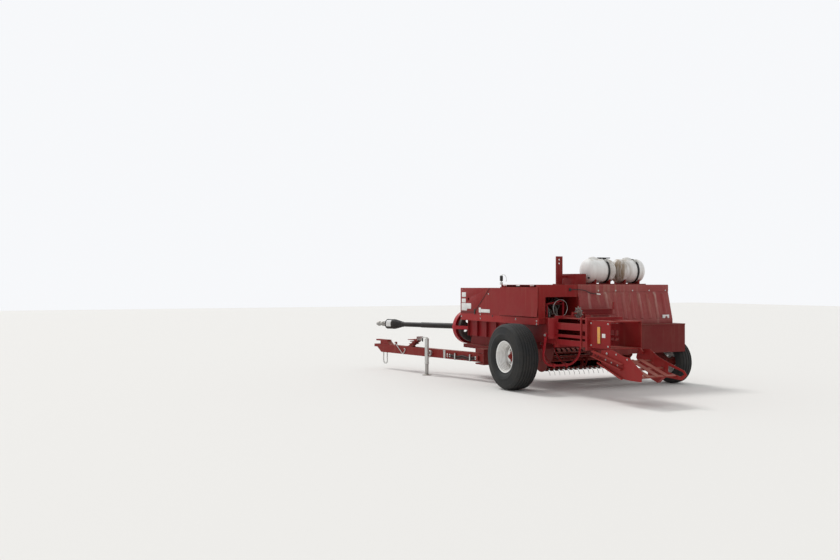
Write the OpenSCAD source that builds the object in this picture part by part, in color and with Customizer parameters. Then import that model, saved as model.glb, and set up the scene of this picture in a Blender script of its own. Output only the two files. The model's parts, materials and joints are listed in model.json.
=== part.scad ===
// Small square baler: towed farm machine with a pickup at its right side, a straight
// chamber, two knotters with their needles, a swinging tongue and a chute behind.
// X points to the front of the machine, Y to its left, Z up from the ground, in mm.
// Places are measured from the left wheel's axle, the chamber's centre line and
// the ground, and the whole machine is then moved so that its box is centred.

/* [Chamber] */
// Outer width of the chamber
chamber_w = 520; // [480:1:560]
// Outer height of the chamber
chamber_h = 365; // [350:1:390]
// Height of the chamber's underside above the ground
chamber_z = 690; // [680:1:700]
// Thickness of the chamber's walls
chamber_t = 10; // [6:1:14]
// Front end of the chamber's walls
chamber_front = 1970; // [1900:1:2050]
// Rear end of the plain walls, where the tension rails start
wall_end = -600; // [-640:1:-560]
// Rear end of the tension rails, where the end plates start
rail_end = -1360; // [-1400:1:-1300]
// Rear end of the end plates
chamber_rear = -1800; // [-1850:1:-1760]
// Length of the feeding opening in the right wall
throat_l = 520; // [440:1:560]

/* [Wheels] */
// Diameter of the left tyre
left_tyre_d = 970; // [940:1:980]
// Radius of the left tyre's bead
left_bead = 222; // [204:1:228]
// Width of the left tyre
left_tyre_w = 360; // [330:1:380]
// Middle of the left tyre, left of the chamber's centre line
left_tyre_y = 620; // [610:1:660]
// Diameter of the right tyre
right_tyre_d = 680; // [660:1:700]
// Radius of the right tyre's bead
right_bead = 190; // [180:1:198]
// Width of the right tyre
right_tyre_w = 240; // [210:1:250]
// Middle of the right tyre, outwards from the feeder housing's right side
wheel_out = 130; // [125:1:150]
// How far the right wheel stands behind the left one
right_tyre_back = 300; // [280:1:320]
// Radius of the wheel spindles
spindle_r = 35; // [30:1:40]
// Running clearance of a pin in its bore
pin_gap = 0.1; // [0.05:0.05:0.2]

/* [Bodywork] */
// Outer face of the left side panels
side_y = 400; // [395:1:405]
// Thickness of the sheet panels
sheet_t = 8; // [5:1:8]
// Height of the twine box and the feeder housing
housing_top = 1534; // [1500:1:1560]
// Height of the front shield
shield_top = 1480; // [1440:1:1490]
// Rear wall of the twine box and the feeder housing
rear_x = -344; // [-350:1:-338]
// Front end of the twine box
twine_front = 690; // [660:1:700]
// Underside of the left skirt
skirt_z = 950; // [930:1:970]
// Right side of the feeder housing
housing_right = 2000; // [1990:1:2005]
// Seam between the rear wall's top band and its flared part
flare_z = 1430; // [1410:1:1450]
// How far the rear wall flares out at its foot
flare_out = 106; // [60:1:112]
// Number of pressed ribs in the rear wall
wall_ribs = 8; // [4:1:8]
// Width of the knotter opening
knot_open_w = 550; // [480:1:560]
// Top of the knotter opening
knot_open_top = 1355; // [1340:1:1380]

/* [Tongue] */
// Length of the tongue from its pivot to the hitch pin
tongue_l = 2952; // [2800:1:3050]
// Width of the tongue's box section
tongue_w = 120; // [100:1:130]
// Height of the tongue's box section
tongue_h = 140; // [130:1:146]
// Angle of the tongue to the left, in working position
tongue_angle = 10.74; // [8:0.01:12]
// Radius of the hitch pin's holes
hitch_r = 16; // [14:1:20]
// Radius of the tongue's pivot pin
pivot_r = 32; // [28:1:36]
// Place of the jack along the tongue
jack_at = 1300; // [1200:1:1400]
// Half the thickness of the jack's outer tube
jack_r = 36; // [32:1:40]

/* [Drive] */
// Radius of the flywheel
flywheel_r = 245; // [220:1:255]
// Radius of the flywheel's guard
guard_r = 284; // [280:1:300]
// Height of the input shaft
drive_z = 812; // [800:1:820]
// Input shaft, left of the chamber's centre line
drive_y = 65; // [55:1:75]
// Front face of the flywheel's guard
guard_x = 2350; // [2330:1:2380]
// Centre of the driveline's rear joint
joint_x = 2450; // [2440:1:2480]
// Radius of the splined bore in the driveline's front yoke
pto_r = 17.5; // [17:0.5:18]
// Outer radius of the driveline's guard tube
tube_r = 48; // [42:1:52]

/* [Needles] */
// Needle pivot, along the machine
needle_x = -420; // [-430:1:-410]
// Needle pivot above the ground
needle_z = 810; // [800:1:820]
// Radius of the needles' path about their pivot
needle_r = 470; // [460:1:475]
// Needles, either side of the centre line
needle_y = 110; // [100:1:125]

/* [Pickup] */
// Pickup pivot along the machine
lift_x = 430; // [420:1:440]
// Pickup pivot above the ground
lift_z = 600; // [590:1:610]
// Centre of the pickup reel, along the machine
reel_x = 800; // [780:1:820]
// Centre of the pickup reel, above the ground
reel_z = 335; // [320:1:350]
// Radius of the circle that the tines' tips run on
tine_tip_r = 262; // [250:1:270]
// Number of stripper bands
strippers = 16; // [10:1:18]
// Left side of the pickup
pickup_left = 412; // [405:1:420]
// How far the pickup's right side stands in from the feeder housing's
pickup_inset = 28; // [24:1:40]
// Diameter of the pickup's gauge wheel
gauge_d = 380; // [340:1:400]

/* [Chute] */
// Outer face of the chute's left plate from the centre line
chute_y = 306; // [304:1:310]
// Chute hinge below the chamber's underside
chute_drop = 50; // [45:1:55]

/* [Tanks] */
// Radius of the tanks
tank_r = 187; // [170:1:190]
// Length of a tank
tank_l = 550; // [500:1:560]
// Depth of a tank's domed ends
tank_dome = 100; // [60:1:110]
// Middle of the inner tank, right of the centre line
tank_y = 1067; // [1060:1:1090]
// Distance between the two tanks' middles
tank_pitch = 572; // [565:1:600]
// Tanks' centre along the machine
tank_x = 200; // [190:1:220]
// Height of the tanks' centre above the housing
tank_up = 216; // [212:1:220]

/* [Hidden] */
$fn = 48;
e = 1;
half_w = chamber_w / 2;
chamber_top = chamber_z + chamber_h;
throat_x = 130;
wall_y = half_w + 30;
left_r = left_tyre_d / 2;
right_r = right_tyre_d / 2;
deck_y = side_y - sheet_t;
ledge_x = rear_x - 268;
ledge_z = 940;
plate_t = 8;
box_left = 450;
box_right = housing_right + 100;
right_tyre_y = housing_right + wheel_out;
pickup_right = housing_right - pickup_inset;
pickup_span = pickup_right - pickup_left;
seat_gap = 0.3;
measure_x = -760;
measure_z = chamber_top + 75;
beam_x = 90;
beam_w = 120;
beam_h = 120;
jack_pin = 20;
jack_boss = 48;
jack_y = tongue_w / 2 + 6 + seat_gap + jack_boss + jack_r;
tongue_x = 1200;
hose_x = 90;
hose_l = 700;
tongue_y = 400;
tongue_z = 372;
hitch_x = tongue_x + tongue_l * cos(tongue_angle);
hitch_y = tongue_y + tongue_l * sin(tongue_angle);
hinge_x = chamber_rear;
hinge_z = chamber_z - chute_drop;
line_l = sqrt(pow(hitch_x - joint_x, 2) + pow(hitch_y - drive_y, 2));
line_angle = atan2(hitch_y - drive_y, hitch_x - joint_x);
chute_tip = -2609;
hitch_end = 62;
front_x = hitch_x + hitch_end * cos(tongue_angle);
left_end = hitch_y + hitch_end * sin(tongue_angle) + tongue_w / 2;
mid_x = (front_x + chute_tip) / 2;
mid_y = (left_end - right_tyre_y - right_tyre_w / 2) / 2;
red = [0.62, 0.09, 0.10];
bright_red = [0.72, 0.07, 0.08];
black = [0.10, 0.10, 0.11];
steel = [0.62, 0.62, 0.60];

// Moves the machine from its measuring point to the middle of its box
module place() {
    translate([-mid_x, -mid_y, 0]) children();
}

// A plate in the X-Z plane, from y0 to y1
module side_plate(points, y0, y1) {
    translate([0, max(y0, y1), 0]) rotate([90, 0, 0])
        linear_extrude(abs(y1 - y0)) polygon(points);
}

// A box between two corners
module block(low, high) {
    translate(low) cube(high - low);
}

// A cylinder along Y from y0 to y1
module rod_y(x, z, r, y0, y1) {
    translate([x, max(y0, y1), z]) rotate([90, 0, 0]) cylinder(r = r, h = abs(y1 - y0));
}

// A cylinder along X from x0 to x1
module rod_x(y, z, r, x0, x1) {
    translate([x0, y, z]) rotate([0, 90, 0]) cylinder(r = r, h = x1 - x0);
}

// A straight round bar between two points
module bar(a, b, r) {
    d = b - a;
    translate(a) rotate([0, acos(d[2] / norm(d)), atan2(d[1], d[0])])
        cylinder(r = r, h = norm(d));
}

// A solid of revolution about the Y axis through x, y, z
module turned(x, y, z, points) {
    translate([x, y, z]) rotate([-90, 0, 0]) rotate_extrude($fn = 96) polygon(points);
}

module main_frame() color(red) {
    // Cross beam under the chamber and the feeder floor
    block([beam_x, -housing_right + 5, chamber_z - beam_h], [beam_x + beam_w, deck_y, chamber_z]);
    // Left spindle on its drop plate
    side_plate([[-60, left_r - 60], [60, left_r - 60], [beam_x + beam_w, chamber_z - beam_h],
        [beam_x + beam_w, chamber_z - 1], [beam_x, chamber_z - 1], [-60, left_r + 60]], 345, deck_y);
    rod_y(0, left_r, spindle_r, 350, left_tyre_y);
    // Right spindle on its drop arm
    side_plate([[-right_tyre_back - 60, right_r - 60], [-right_tyre_back + 60, right_r - 60],
        [beam_x + beam_w, chamber_z - beam_h], [beam_x + beam_w, chamber_z - 1],
        [beam_x, chamber_z - 1], [-right_tyre_back - 60, right_r + 60]],
        5 - housing_right, 45 - housing_right);
    rod_y(-right_tyre_back, right_r, spindle_r, -right_tyre_y, 45 - housing_right);
    // Chamber rails that run forward to the tongue bracket
    for (y = [180, -250])
        side_plate([[beam_x + beam_w - e, chamber_z - 90], [1040, chamber_z - 90], [1060, 490],
            [2000, 490], [2000, 550], [1900, 550], [1860, chamber_z], [beam_x + beam_w - e, chamber_z]],
            y, y + 70);
    // Tongue bracket with its pivot pin
    block([1060, 180, 490], [2000, 330, 550]);
    block([1060, -250, 490], [1180, 260, 550]);
    fork_low = tongue_z - tongue_h / 2 - 35;
    fork_high = tongue_z + tongue_h / 2 + 10;
    difference() {
        union() {
            block([1060, 320, fork_high], [1320, tongue_y + 90, 515]);
            block([1060, 310, fork_low], [1320, tongue_y + 90, fork_low + 24]);
            block([1060, 310, fork_low], [1088, tongue_y + 90, 515]);
            translate([tongue_x, tongue_y, fork_low]) cylinder(r = pivot_r, h = fork_high - fork_low + e);
            translate([tongue_x, tongue_y, fork_low]) cylinder(r = 56, h = 35 - seat_gap);
        }
        translate([tongue_x, tongue_y, fork_low - e]) cylinder(r = 8, h = 300);
    }
    // Arms back to the rear box
    for (y = [-700, -(600 + housing_right) / 2, 100 - housing_right])
        block([rear_x, y - 30, 575], [beam_x + e, y + 30, 640]);
    // Pickup pivot ears with their pins
    for (y = [-pickup_left + 5, -pickup_right - 17])
        side_plate([[beam_x + beam_w - e, 580], [lift_x, lift_z - 32], [lift_x + 30, lift_z],
            [lift_x, lift_z + 32], [beam_x + beam_w - e, 680]], y, y + 12);
    rod_y(lift_x, lift_z, 15, -pickup_left - 11, -pickup_left + 16);
    rod_y(lift_x, lift_z, 15, -pickup_right - 16, -pickup_right + 11);
}

module bale_chamber() color(red) {
    difference() {
        block([wall_end, -half_w, chamber_z], [chamber_front, half_w, chamber_top]);
        block([wall_end - e, chamber_t - half_w, chamber_z + chamber_t],
            [chamber_front + e, half_w - chamber_t, chamber_top - chamber_t]);
        // Open top over the crank
        block([1300, chamber_t - half_w, chamber_top - 20], [chamber_front + e, half_w - chamber_t, chamber_top + e]);
        // Feeding opening in the right wall
        block([throat_x, -half_w - e, chamber_z + 40], [throat_x + throat_l, 30 - half_w, chamber_top - 25]);
        // Needle slots in the floor and the roof
        for (side = [-1, 1]) {
            block([0, side * needle_y - 20, chamber_z - e], [78, side * needle_y + 20, chamber_z + 20]);
            block([-75, side * needle_y - 20, chamber_top - 20], [40, side * needle_y + 20, chamber_top + e]);
        }
    }
    // Upright ribs and skirt brackets on the left wall
    for (x = [700, 1000, 1300, 1600, 1900])
        block([x, half_w - e, chamber_z], [x + 10, half_w + 40, chamber_top - chamber_t]);
    for (x = [-330, 180, 700, 1300, 1900])
        block([x, half_w - e, skirt_z + 15], [x + 10, deck_y, chamber_top - chamber_t]);
    // Needle pivots
    for (side = [-1, 1]) {
        rod_y(needle_x, needle_z, 38, side * (half_w - e), side * (half_w + 40));
        rod_y(needle_x, needle_z, 20, side * half_w, side * (half_w + 78));
    }
}

module tension_rails() color(red) {
    // Hoops at both ends and the upright near the end plates
    for (x = [wall_end - 40, rail_end])
        difference() {
            block([x, -half_w - 40, chamber_z - 40], [x + 40, half_w + 40, chamber_top + 40]);
            block([x - e, -half_w, chamber_z], [x + 41, half_w, chamber_top]);
        }
    // Side rails
    for (side = [-1, 1], z = [[905, 1000], [800, 840], [chamber_z, 766]])
        block([rail_end + 40 - e, side > 0 ? half_w : -half_w - 25, z[0]],
            [wall_end - 40 + e, side > 0 ? half_w + 25 : -half_w, z[1]]);
    // Top and bottom rails
    for (y = [-200, 100]) {
        block([rail_end + 40 - e, y, chamber_top], [wall_end - 40 + e, y + 100, chamber_top + 12]);
        block([rail_end + 40 - e, y, chamber_z - 12], [wall_end - 40 + e, y + 100, chamber_z]);
    }
    for (side = [-1, 1])
        block([-1230, side > 0 ? half_w + 20 : -half_w - 40, chamber_z - 12],
            [-1205, side > 0 ? half_w + 40 : -half_w - 20, chamber_top + 40]);
    // Shaft and brackets of the measuring wheel
    for (y = [-108, 100])
        block([measure_x - 18, y, chamber_top + 11], [measure_x + 18, y + 8, measure_z + 18]);
    rod_y(measure_x, measure_z, 10, -108, 108);
    // Rounded cover over the left front hoop
    difference() {
        translate([wall_end + 20, half_w + 60, chamber_z + 80]) cylinder(r = 60, h = 290);
        translate([wall_end + 20, half_w + 60, chamber_z + 70]) cylinder(r = 54, h = 320);
        block([wall_end - 100, half_w - 60, 0], [wall_end + 200, half_w + 40.5, 2000]);
    }
    block([wall_end - 39, half_w + 39, chamber_z + 80], [wall_end - 34, half_w + 62, chamber_z + 370]);
}

module end_frame() color(red) {
    for (side = [-1, 1]) {
        block([chamber_rear, side > 0 ? half_w - chamber_t : -half_w, chamber_z],
            [rail_end, side > 0 ? half_w : chamber_t - half_w, chamber_top]);
        // Ear for the chute's hinge, with its pin
        side_plate([[hinge_x - 40, hinge_z - 25], [hinge_x + 40, hinge_z - 25],
            [hinge_x + 60, chamber_z + e], [hinge_x, chamber_z + e], [hinge_x - 40, hinge_z + 15]],
            side * (half_w - 20), side * half_w);
        rod_y(hinge_x, hinge_z, 12, side * (half_w - e), side * (chute_y + 6));
    }
    block([chamber_rear, -half_w, chamber_z], [rail_end, half_w, chamber_z + chamber_t]);
    for (x = [chamber_rear, rail_end - 60])
        block([x, -half_w, chamber_top - 12], [x + 60, half_w, chamber_top]);
    for (y = [-200, 100])
        block([chamber_rear, y, chamber_top - 12], [rail_end, y + 100, chamber_top]);
}

module plunger() color(steel) {
    difference() {
        block([760, chamber_t + 8 - half_w, chamber_z + chamber_t],
            [1180, half_w - chamber_t - 8, chamber_top - 30]);
        for (side = [-1, 1])
            block([750, side * needle_y - 22, chamber_z], [960, side * needle_y + 22, chamber_top]);
    }
}

module gearbox() color(red) {
    difference() {
        union() {
            block([1600, -180, chamber_z + chamber_t], [1900, 200, 1020]);
            rod_x(drive_y, drive_z, 70, 1899, 1960);
            rod_y(1740, 930, 90, -215, 230);
        }
        rod_x(drive_y, drive_z, 25 + pin_gap, 1905, 1970);
    }
}

module front_shield() color(red) {
    x0 = twine_front + 12;
    difference() {
        block([x0, -half_w, chamber_top], [chamber_front, side_y, shield_top]);
        block([x0 - e, sheet_t - half_w, chamber_top - e],
            [chamber_front - sheet_t, deck_y, shield_top - sheet_t]);
        // Round sight hole in the left panel
        rod_y(1700, 1300, 22, deck_y - 5, side_y + 5);
        // Slot in front for the drive
        block([chamber_front - 20, -100, chamber_top - e], [chamber_front + e, 240, 1180]);
    }
}

module side_skirt() color(red) {
    block([rear_x, half_w, chamber_top - chamber_t], [chamber_front, deck_y + e, chamber_top]);
    block([rear_x, deck_y, skirt_z], [chamber_front, side_y, chamber_top]);
}

module twine_box() color(red) {
    difference() {
        block([rear_x, -wall_y, chamber_top], [twine_front, deck_y, housing_top]);
        // Knotter room and twine room, open to the left
        block([rear_x + sheet_t, sheet_t - wall_y, chamber_top - e], [150, deck_y + e, housing_top - sheet_t]);
        block([158, sheet_t - wall_y, chamber_top + sheet_t],
            [twine_front - sheet_t, deck_y + e, housing_top - sheet_t]);
        // Knotter opening in the rear wall
        translate([rear_x - e, 0, 0]) rotate([90, 0, 90]) linear_extrude(sheet_t + 2 * e)
            polygon([[280, chamber_top - e], [280, knot_open_top], [280 - knot_open_w, knot_open_top],
                [255 - knot_open_w, chamber_top - e]]);
    }
    // Left corner post and the door's hinge pins
    block([rear_x, deck_y - e, chamber_top], [rear_x + 60, side_y - 1, housing_top]);
    for (x = [-200, 540])
        difference() {
            union() {
                block([x, deck_y - e, housing_top - 30], [x + 30, side_y + 20, housing_top]);
                rod_x(side_y + 14, housing_top - 14, 6, x - 30, x + 60);
            }
        }
}

module twine_door() color(red) {
    hinge_y = side_y + 14;
    top = housing_top - 14;
    difference() {
        union() {
            translate([rear_x + 4, 0, 0]) rotate([90, 0, 90]) linear_extrude(twine_front - rear_x)
                polygon([[side_y + 5, top - 20], [side_y + 5, 1210], [side_y + 22, 1072],
                    [side_y + 5, 1072], [side_y + 5, 1067], [side_y + 28, 1067], [side_y + 11, 1210],
                    [side_y + 11, top - 20]]);
            for (x = [-200, 540], dx = [-28, 36])
                block([x + dx, side_y + 5, top - 40], [x + dx + 22, side_y + 11, top]);
            for (x = [-200, 540], dx = [-28, 36])
                rod_x(hinge_y, top, 11, x + dx, x + dx + 22);
        }
        rod_x(hinge_y, top, 6 + pin_gap, -400, 800);
    }
}

module rear_wall() color(red) {
    profile = [[rear_x, housing_top], [rear_x, flare_z], [rear_x - flare_out, 1000],
        [rear_x - flare_out, ledge_z], [rear_x - flare_out + 8, ledge_z],
        [rear_x - flare_out + 8, 1000], [rear_x + 8, flare_z], [rear_x + 8, housing_top]];
    rotate([90, 0, 0]) translate([0, 0, wall_y]) linear_extrude(housing_right - wall_y) polygon(profile);
    // Pressed ribs on the flared part
    rib_l = norm([flare_out, flare_z - 1000]);
    slope = atan2(flare_out, flare_z - 1000);
    rib_pitch = (housing_right - 915) / 7;
    for (i = [0:wall_ribs - 1])
        translate([rear_x, -790 - rib_pitch * i, flare_z]) rotate([0, 180 + slope, 0])
            linear_extrude(rib_l) polygon([[-2, -34], [16, -8], [16, 8], [-2, 34]]);
    // Stiffening lip along the seam
    block([rear_x - 10, -housing_right, flare_z - 4], [rear_x + 1, -640, flare_z + 8]);
}

module feeder_housing() color(red) {
    block([rear_x + 8, -housing_right, housing_top - sheet_t], [450, -wall_y, housing_top]);
    block([450 - sheet_t, -housing_right, 1150], [450, -wall_y, housing_top]);
    side_plate([[rear_x + 8, housing_top], [450, housing_top], [450, 1150], [600, 723],
        [rear_x, 723], [rear_x, ledge_z], [rear_x - flare_out + 8, ledge_z],
        [rear_x - flare_out + 8, 1000], [rear_x + 8, flare_z]],
        -housing_right, sheet_t - housing_right);
    // Inner wall beside the twine box's rear
    block([320, -wall_y - 8, 1062], [450, -wall_y, housing_top]);
}

module feeder_floor() color(red) {
    z = 715;
    difference() {
        block([rear_x, -housing_right, z], [600, -half_w, z + sheet_t]);
        // Room for the needle yoke's right arm
        block([rear_x - e, -half_w - 110, z - e], [40, -half_w + e, z + sheet_t + e]);
    }
    for (y = [-400, -400 - (housing_right - 420) / 2, 20 - housing_right])
        block([beam_x, y, chamber_z], [beam_x + beam_w, y + 20, z + e]);
    // Front lip that meets the strippers
    block([592, 12 - pickup_right, z - 25], [600, -pickup_left - 12, z + e]);
}

module rear_box() color(red) {
    inner = -housing_right + 10;
    low = 510;
    wheel_top = right_tyre_d + 20;
    block([ledge_x, -box_right, low], [ledge_x + plate_t, -box_left, ledge_z]);
    block([ledge_x, -box_right, ledge_z - plate_t], [rear_x, -box_left, ledge_z]);
    block([rear_x - plate_t, inner, 560], [rear_x, -box_left, ledge_z]);
    for (y = [inner, -box_left - plate_t])
        block([ledge_x, y, low], [rear_x, y + plate_t, ledge_z]);
    // Outer end above the right wheel
    block([ledge_x, -box_right, wheel_top], [rear_x, -box_right + plate_t, ledge_z]);
    block([rear_x - plate_t, -box_right, wheel_top], [rear_x, inner + e, ledge_z]);
    // Lip under the ledge
    block([ledge_x - plate_t, -box_right, ledge_z - 2 * plate_t], [ledge_x + e, -box_left, ledge_z]);
}

module feeder_tines() color(steel) {
    block([170, sheet_t - housing_right, 1370], [240, -wall_y - 8, 1430]);
    for (k = [0:2]) {
        y = -520 - k * (housing_right - 880) / 2;
        block([60, y - 30, 1290], [360, y + 30, 1371]);
        for (x = [100, 205, 310])
            feeder_tine(x, y);
    }
}

// One feeder tine: straight down, then bent to the left at its tip
module feeder_tine(x, y) {
    translate([x, y, 920]) cylinder(r = 12, h = 371);
    translate([x, y, 920]) sphere(r = 12);
    bar([x, y, 920], [x, y + 70, 770], 12);
}

module feeder_drive() color(red) {
    block([60, -740, housing_top], [420, -560, 1700]);
    difference() {
        block([285, -465, housing_top], [320, -360, 1970]);
        for (z = [1860, 1920])
            rod_x(-412, z, 18, 280, 330);
    }
    block([240, -480, housing_top], [380, -345, housing_top + 12]);
    block([296, -561, 1640], [310, -464, 1670]);
}

module knotter_frame() color(red) {
    for (y = [-215, 200])
        side_plate([[-90, chamber_top], [130, chamber_top], [110, 1290], [60, 1320], [-10, 1320], [-125, 1262],
            [-125, 1238]],
            y, y + 12);
    block([-125, -215, 1238], [-100, 212, 1262]);
    // Raised arm behind the knotters and its post
    bar([-200, 155, 1252], [-200, -130, 1301], 12);
    bar([-200, 155, chamber_top], [-200, 155, 1262], 12);
    bar([-200, -130, chamber_top], [-200, -130, 1311], 12);
    // Thin ring that guides the twine
    translate([-230, -60, 1188]) rotate([0, 90, 0]) rotate_extrude($fn = 64)
        translate([125, 0]) circle(r = 5, $fn = 16);
    bar([-230, -60, chamber_top], [-230, -60, 1068], 6);
}

module knotters() color(steel) {
    rod_y(30, 1250, 20, -200 + seat_gap, 200 - seat_gap);
    for (side = [-1, 1]) {
        difference() {
            rod_y(30, 1250, 118, side * 138, side * 156);
            for (a = [0:45:359])
                rod_y(30 + 80 * cos(a), 1250 + 80 * sin(a), 16, side * 130, side * 160);
        }
        difference() {
            rod_y(30, 1250, 40, side * 128, side * 170);
            rod_y(30, 1250, 19, side * 120, side * 180);
        }
        // Casting with the bill hook
        difference() {
            side_plate([[-150, 1085], [-60, 1085], [20, 1215], [20, 1280], [-20, 1280], [-130, 1180]],
                side * 60, side * 84);
            rod_y(30, 1250, 19, side * 50, side * 100);
        }
        block([-150, side > 0 ? 60 : -84, chamber_top], [-80, side > 0 ? 84 : -60, 1086]);
        rod_y(-105, 1120, 16, side * 40, side * 96);
    }
}

module cross_beam() color(red) {
    difference() {
        block([-545, -830, 1090], [-465, -150, 1180]);
        block([-546, -831, 1098], [-473, -149, 1172]);
    }
    block([-545, -half_w, chamber_top], [-465, -150, 1091]);
    block([-530, -815, 1179], [-515, -790, 1280]);
    block([-520, -200, 1175], [-505, -180, 1320]);
}

module needle_yoke() color(bright_red) {
    ny = half_w + 58;
    corner = 150;
    translate([needle_x, 0, needle_z]) rotate([0, 75 - 90, 0]) mirror([0, 0, 1]) {
        for (side = [-1, 1]) {
            difference() {
                union() {
                    translate([0, side * (ny - 16), 0]) rotate([-side * 90, 0, 0]) cylinder(r = 36, h = 32);
                    translate([0, side * ny, 30]) cylinder(r = 18, h = needle_r - corner - 30);
                }
                translate([0, side * (ny - 30), 0]) rotate([-side * 90, 0, 0]) cylinder(r = 20 + pin_gap, h = 60);
            }
            translate([0, side * (ny - corner), needle_r - corner])
                rotate([0, 0, side > 0 ? 90 : -90]) rotate([90, 0, 0])
                rotate_extrude(angle = 90) translate([corner, 0]) circle(r = 18, $fn = 32);
        }
        translate([0, -(ny - corner), needle_r]) rotate([-90, 0, 0]) cylinder(r = 18, h = 2 * (ny - corner));
    }
    // Needles, curved about the pivot from the cross tube to their tips
    for (side = [-1, 1])
        translate([needle_x, side * needle_y, needle_z]) rotate([90, 0, 0])
            rotate([0, 0, -75]) rotate_extrude(angle = 58) translate([needle_r, 0]) circle(r = 10, $fn = 24);
}

module measuring_wheel() color(steel) {
    translate([measure_x, 0, measure_z]) rotate([90, 0, 0]) difference() {
        union() {
            translate([0, 0, -6]) linear_extrude(12)
                polygon([for (i = [0:29]) (i % 3 == 1 ? 104 : 78) * [cos(12 * i), sin(12 * i)]]);
            translate([0, 0, -30]) cylinder(r = 22, h = 60);
        }
        translate([0, 0, -31]) cylinder(r = 10 + pin_gap, h = 62);
    }
}

module tank_cradle() color(red) {
    z = housing_top;
    zc = housing_top + tank_up;
    for (x = [tank_x - 130, tank_x + 90])
        block([x, -tank_y - tank_pitch - tank_l / 2, z], [x + 40, -tank_y + tank_l / 2 - 10, z + 14]);
    difference() {
        for (y = [tank_y, tank_y + tank_pitch], side = [-1, 1]) {
            saddle = y + side * (tank_l / 2 - tank_dome - 40);
            block([tank_x - 130, -saddle - 15, z + 13], [tank_x + 130, -saddle + 15, zc - 120]);
        }
        rod_y(tank_x, zc, tank_r + seat_gap, -2200, -600, $fn = 96);
    }
}

// One tank: a barrel with domed ends, along Y
module tank(y) {
    turned(tank_x, -y - tank_l / 2, housing_top + tank_up,
        concat([[0, 0]], [for (a = [10:10:90]) [tank_r * sin(a), tank_dome * (1 - cos(a))]],
            [for (a = [90:-10:10]) [tank_r * sin(a), tank_l - tank_dome * (1 - cos(a))]], [[0, tank_l]]));
}

module tank_inner() color("ivory") tank(tank_y);

module tank_outer() color("ivory") tank(tank_y + tank_pitch);

module tank_straps() color(black) {
    zc = housing_top + tank_up;
    for (y = [tank_y + 82, tank_y + tank_pitch + 82])
        difference() {
            rod_y(tank_x, zc, tank_r + 6, -y - 20, -y + 20, $fn = 96);
            rod_y(tank_x, zc, tank_r + seat_gap, -y - 30, -y + 30, $fn = 96);
        }
    for (y = [tank_y - 95, tank_y + tank_pitch - 5])
        difference() {
            translate([tank_x, -y, zc + tank_r - 8]) cylinder(r = 60, h = 36);
            rod_y(tank_x, zc, tank_r + seat_gap, -y - 90, -y + 90, $fn = 96);
        }
}

module flywheel_guard() color(bright_red) {
    rim = 100;
    difference() {
        rod_x(drive_y, drive_z, guard_r, guard_x - rim, guard_x);
        rod_x(drive_y, drive_z, guard_r - 8, guard_x - rim - e, guard_x - 8);
        rod_x(drive_y, drive_z, 112, guard_x - 20, guard_x + e);
    }
    // Carrier plates back to the chamber's walls
    for (side = [-1, 1]) {
        edge = side > 0 ? drive_y + guard_r - 2 : drive_y - guard_r + 2;
        translate([0, 0, drive_z - 32]) linear_extrude(60)
            polygon([[guard_x, edge], [guard_x, edge + side * 12], [guard_x - rim - 10, edge + side * 12],
                [chamber_front, side * half_w], [chamber_front, side * (half_w - chamber_t)],
                [guard_x - rim - 10, edge]]);
    }
}

module flywheel() color(steel) {
    back = 2150;
    translate([0, drive_y, drive_z]) rotate([0, 90, 0]) {
        difference() {
            translate([0, 0, back]) cylinder(r = flywheel_r, h = 80, $fn = 96);
            translate([0, 0, back - e]) cylinder(r = flywheel_r - 45, h = 34, $fn = 96);
            translate([0, 0, back + 47]) cylinder(r = flywheel_r - 45, h = 40, $fn = 96);
            for (a = [0:72:359])
                rotate(a) translate([135, 0, back]) cylinder(r = 38, h = 90);
        }
        translate([0, 0, back - 10]) cylinder(r = 60, h = 100);
        translate([0, 0, 1915]) cylinder(r = 25, h = joint_x - 60 - 1915);
        difference() {
            translate([0, 0, joint_x - 85]) cylinder(r = 58, h = 62);
            translate([0, 0, joint_x]) sphere(r = 45 + seat_gap);
        }
    }
}

// Places its child on the driveline's axis, with the child's +Z along it
module on_driveline() {
    translate([joint_x, drive_y, drive_z]) rotate([0, 0, line_angle]) rotate([0, 90, 0]) children();
}

module driveline_guard() color(black) {
    bell = line_l - 540;
    on_driveline() rotate_extrude($fn = 64) polygon([[46, 62], [96, 40], [100, 40], [58, 130],
        [tube_r, 140], [tube_r, bell], [88, bell + 170], [88, bell + 340], [82, bell + 340],
        [82, bell + 174], [40, bell + 6], [22 + seat_gap, bell], [22 + seat_gap, bell - 30],
        [38, bell - 36], [38, 180], [22 + seat_gap, 174], [22 + seat_gap, 150], [40, 130]]);
}

module pto_shaft() color(steel) {
    on_driveline() difference() {
        union() {
            sphere(r = 45);
            cylinder(r = 22, h = line_l - 60);
            translate([0, 0, line_l - 240]) cylinder(r = 45, h = 60);
            translate([0, 0, line_l - 181]) cylinder(r = 30, h = 90);
            translate([0, 0, line_l - 100]) cylinder(r = 45, h = 70);
            translate([0, 0, line_l - 40]) cylinder(r = 31, h = 80);
        }
        translate([0, 0, line_l - 60]) cylinder(r = pto_r, h = 110);
    }
}

// A ribbed implement tyre about the Y axis
module tyre(x, y, d, w, bead) {
    r = d / 2;
    g = w * 0.028;
    half = w / 2;
    crown = [for (u = [-0.60, -0.36, -0.12, 0.12, 0.36, 0.60]) u * half];
    tread = [for (i = [0:5], k = [0:3])
        let (c = crown[i] + [-1.1, -0.6, 0.6, 1.1][k] * g, drop = pow(abs(crown[i]) / half, 2) * r * 0.05)
        [r - drop - (k == 0 || k == 3 ? 0 : 14), c]];
    turned(x, y, r, concat(
        [[bead, -half * 0.72], [bead + 17, -half * 0.72], [r * 0.62, -half], [r * 0.78, -half * 0.99],
            [r * 0.92, -half * 0.86]],
        [[r * 0.955, -half * 0.74]], tread, [[r * 0.955, half * 0.74]],
        [[r * 0.92, half * 0.86], [r * 0.78, half * 0.99], [r * 0.62, half], [bead + 17, half * 0.72],
            [bead, half * 0.72]]));
}

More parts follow.
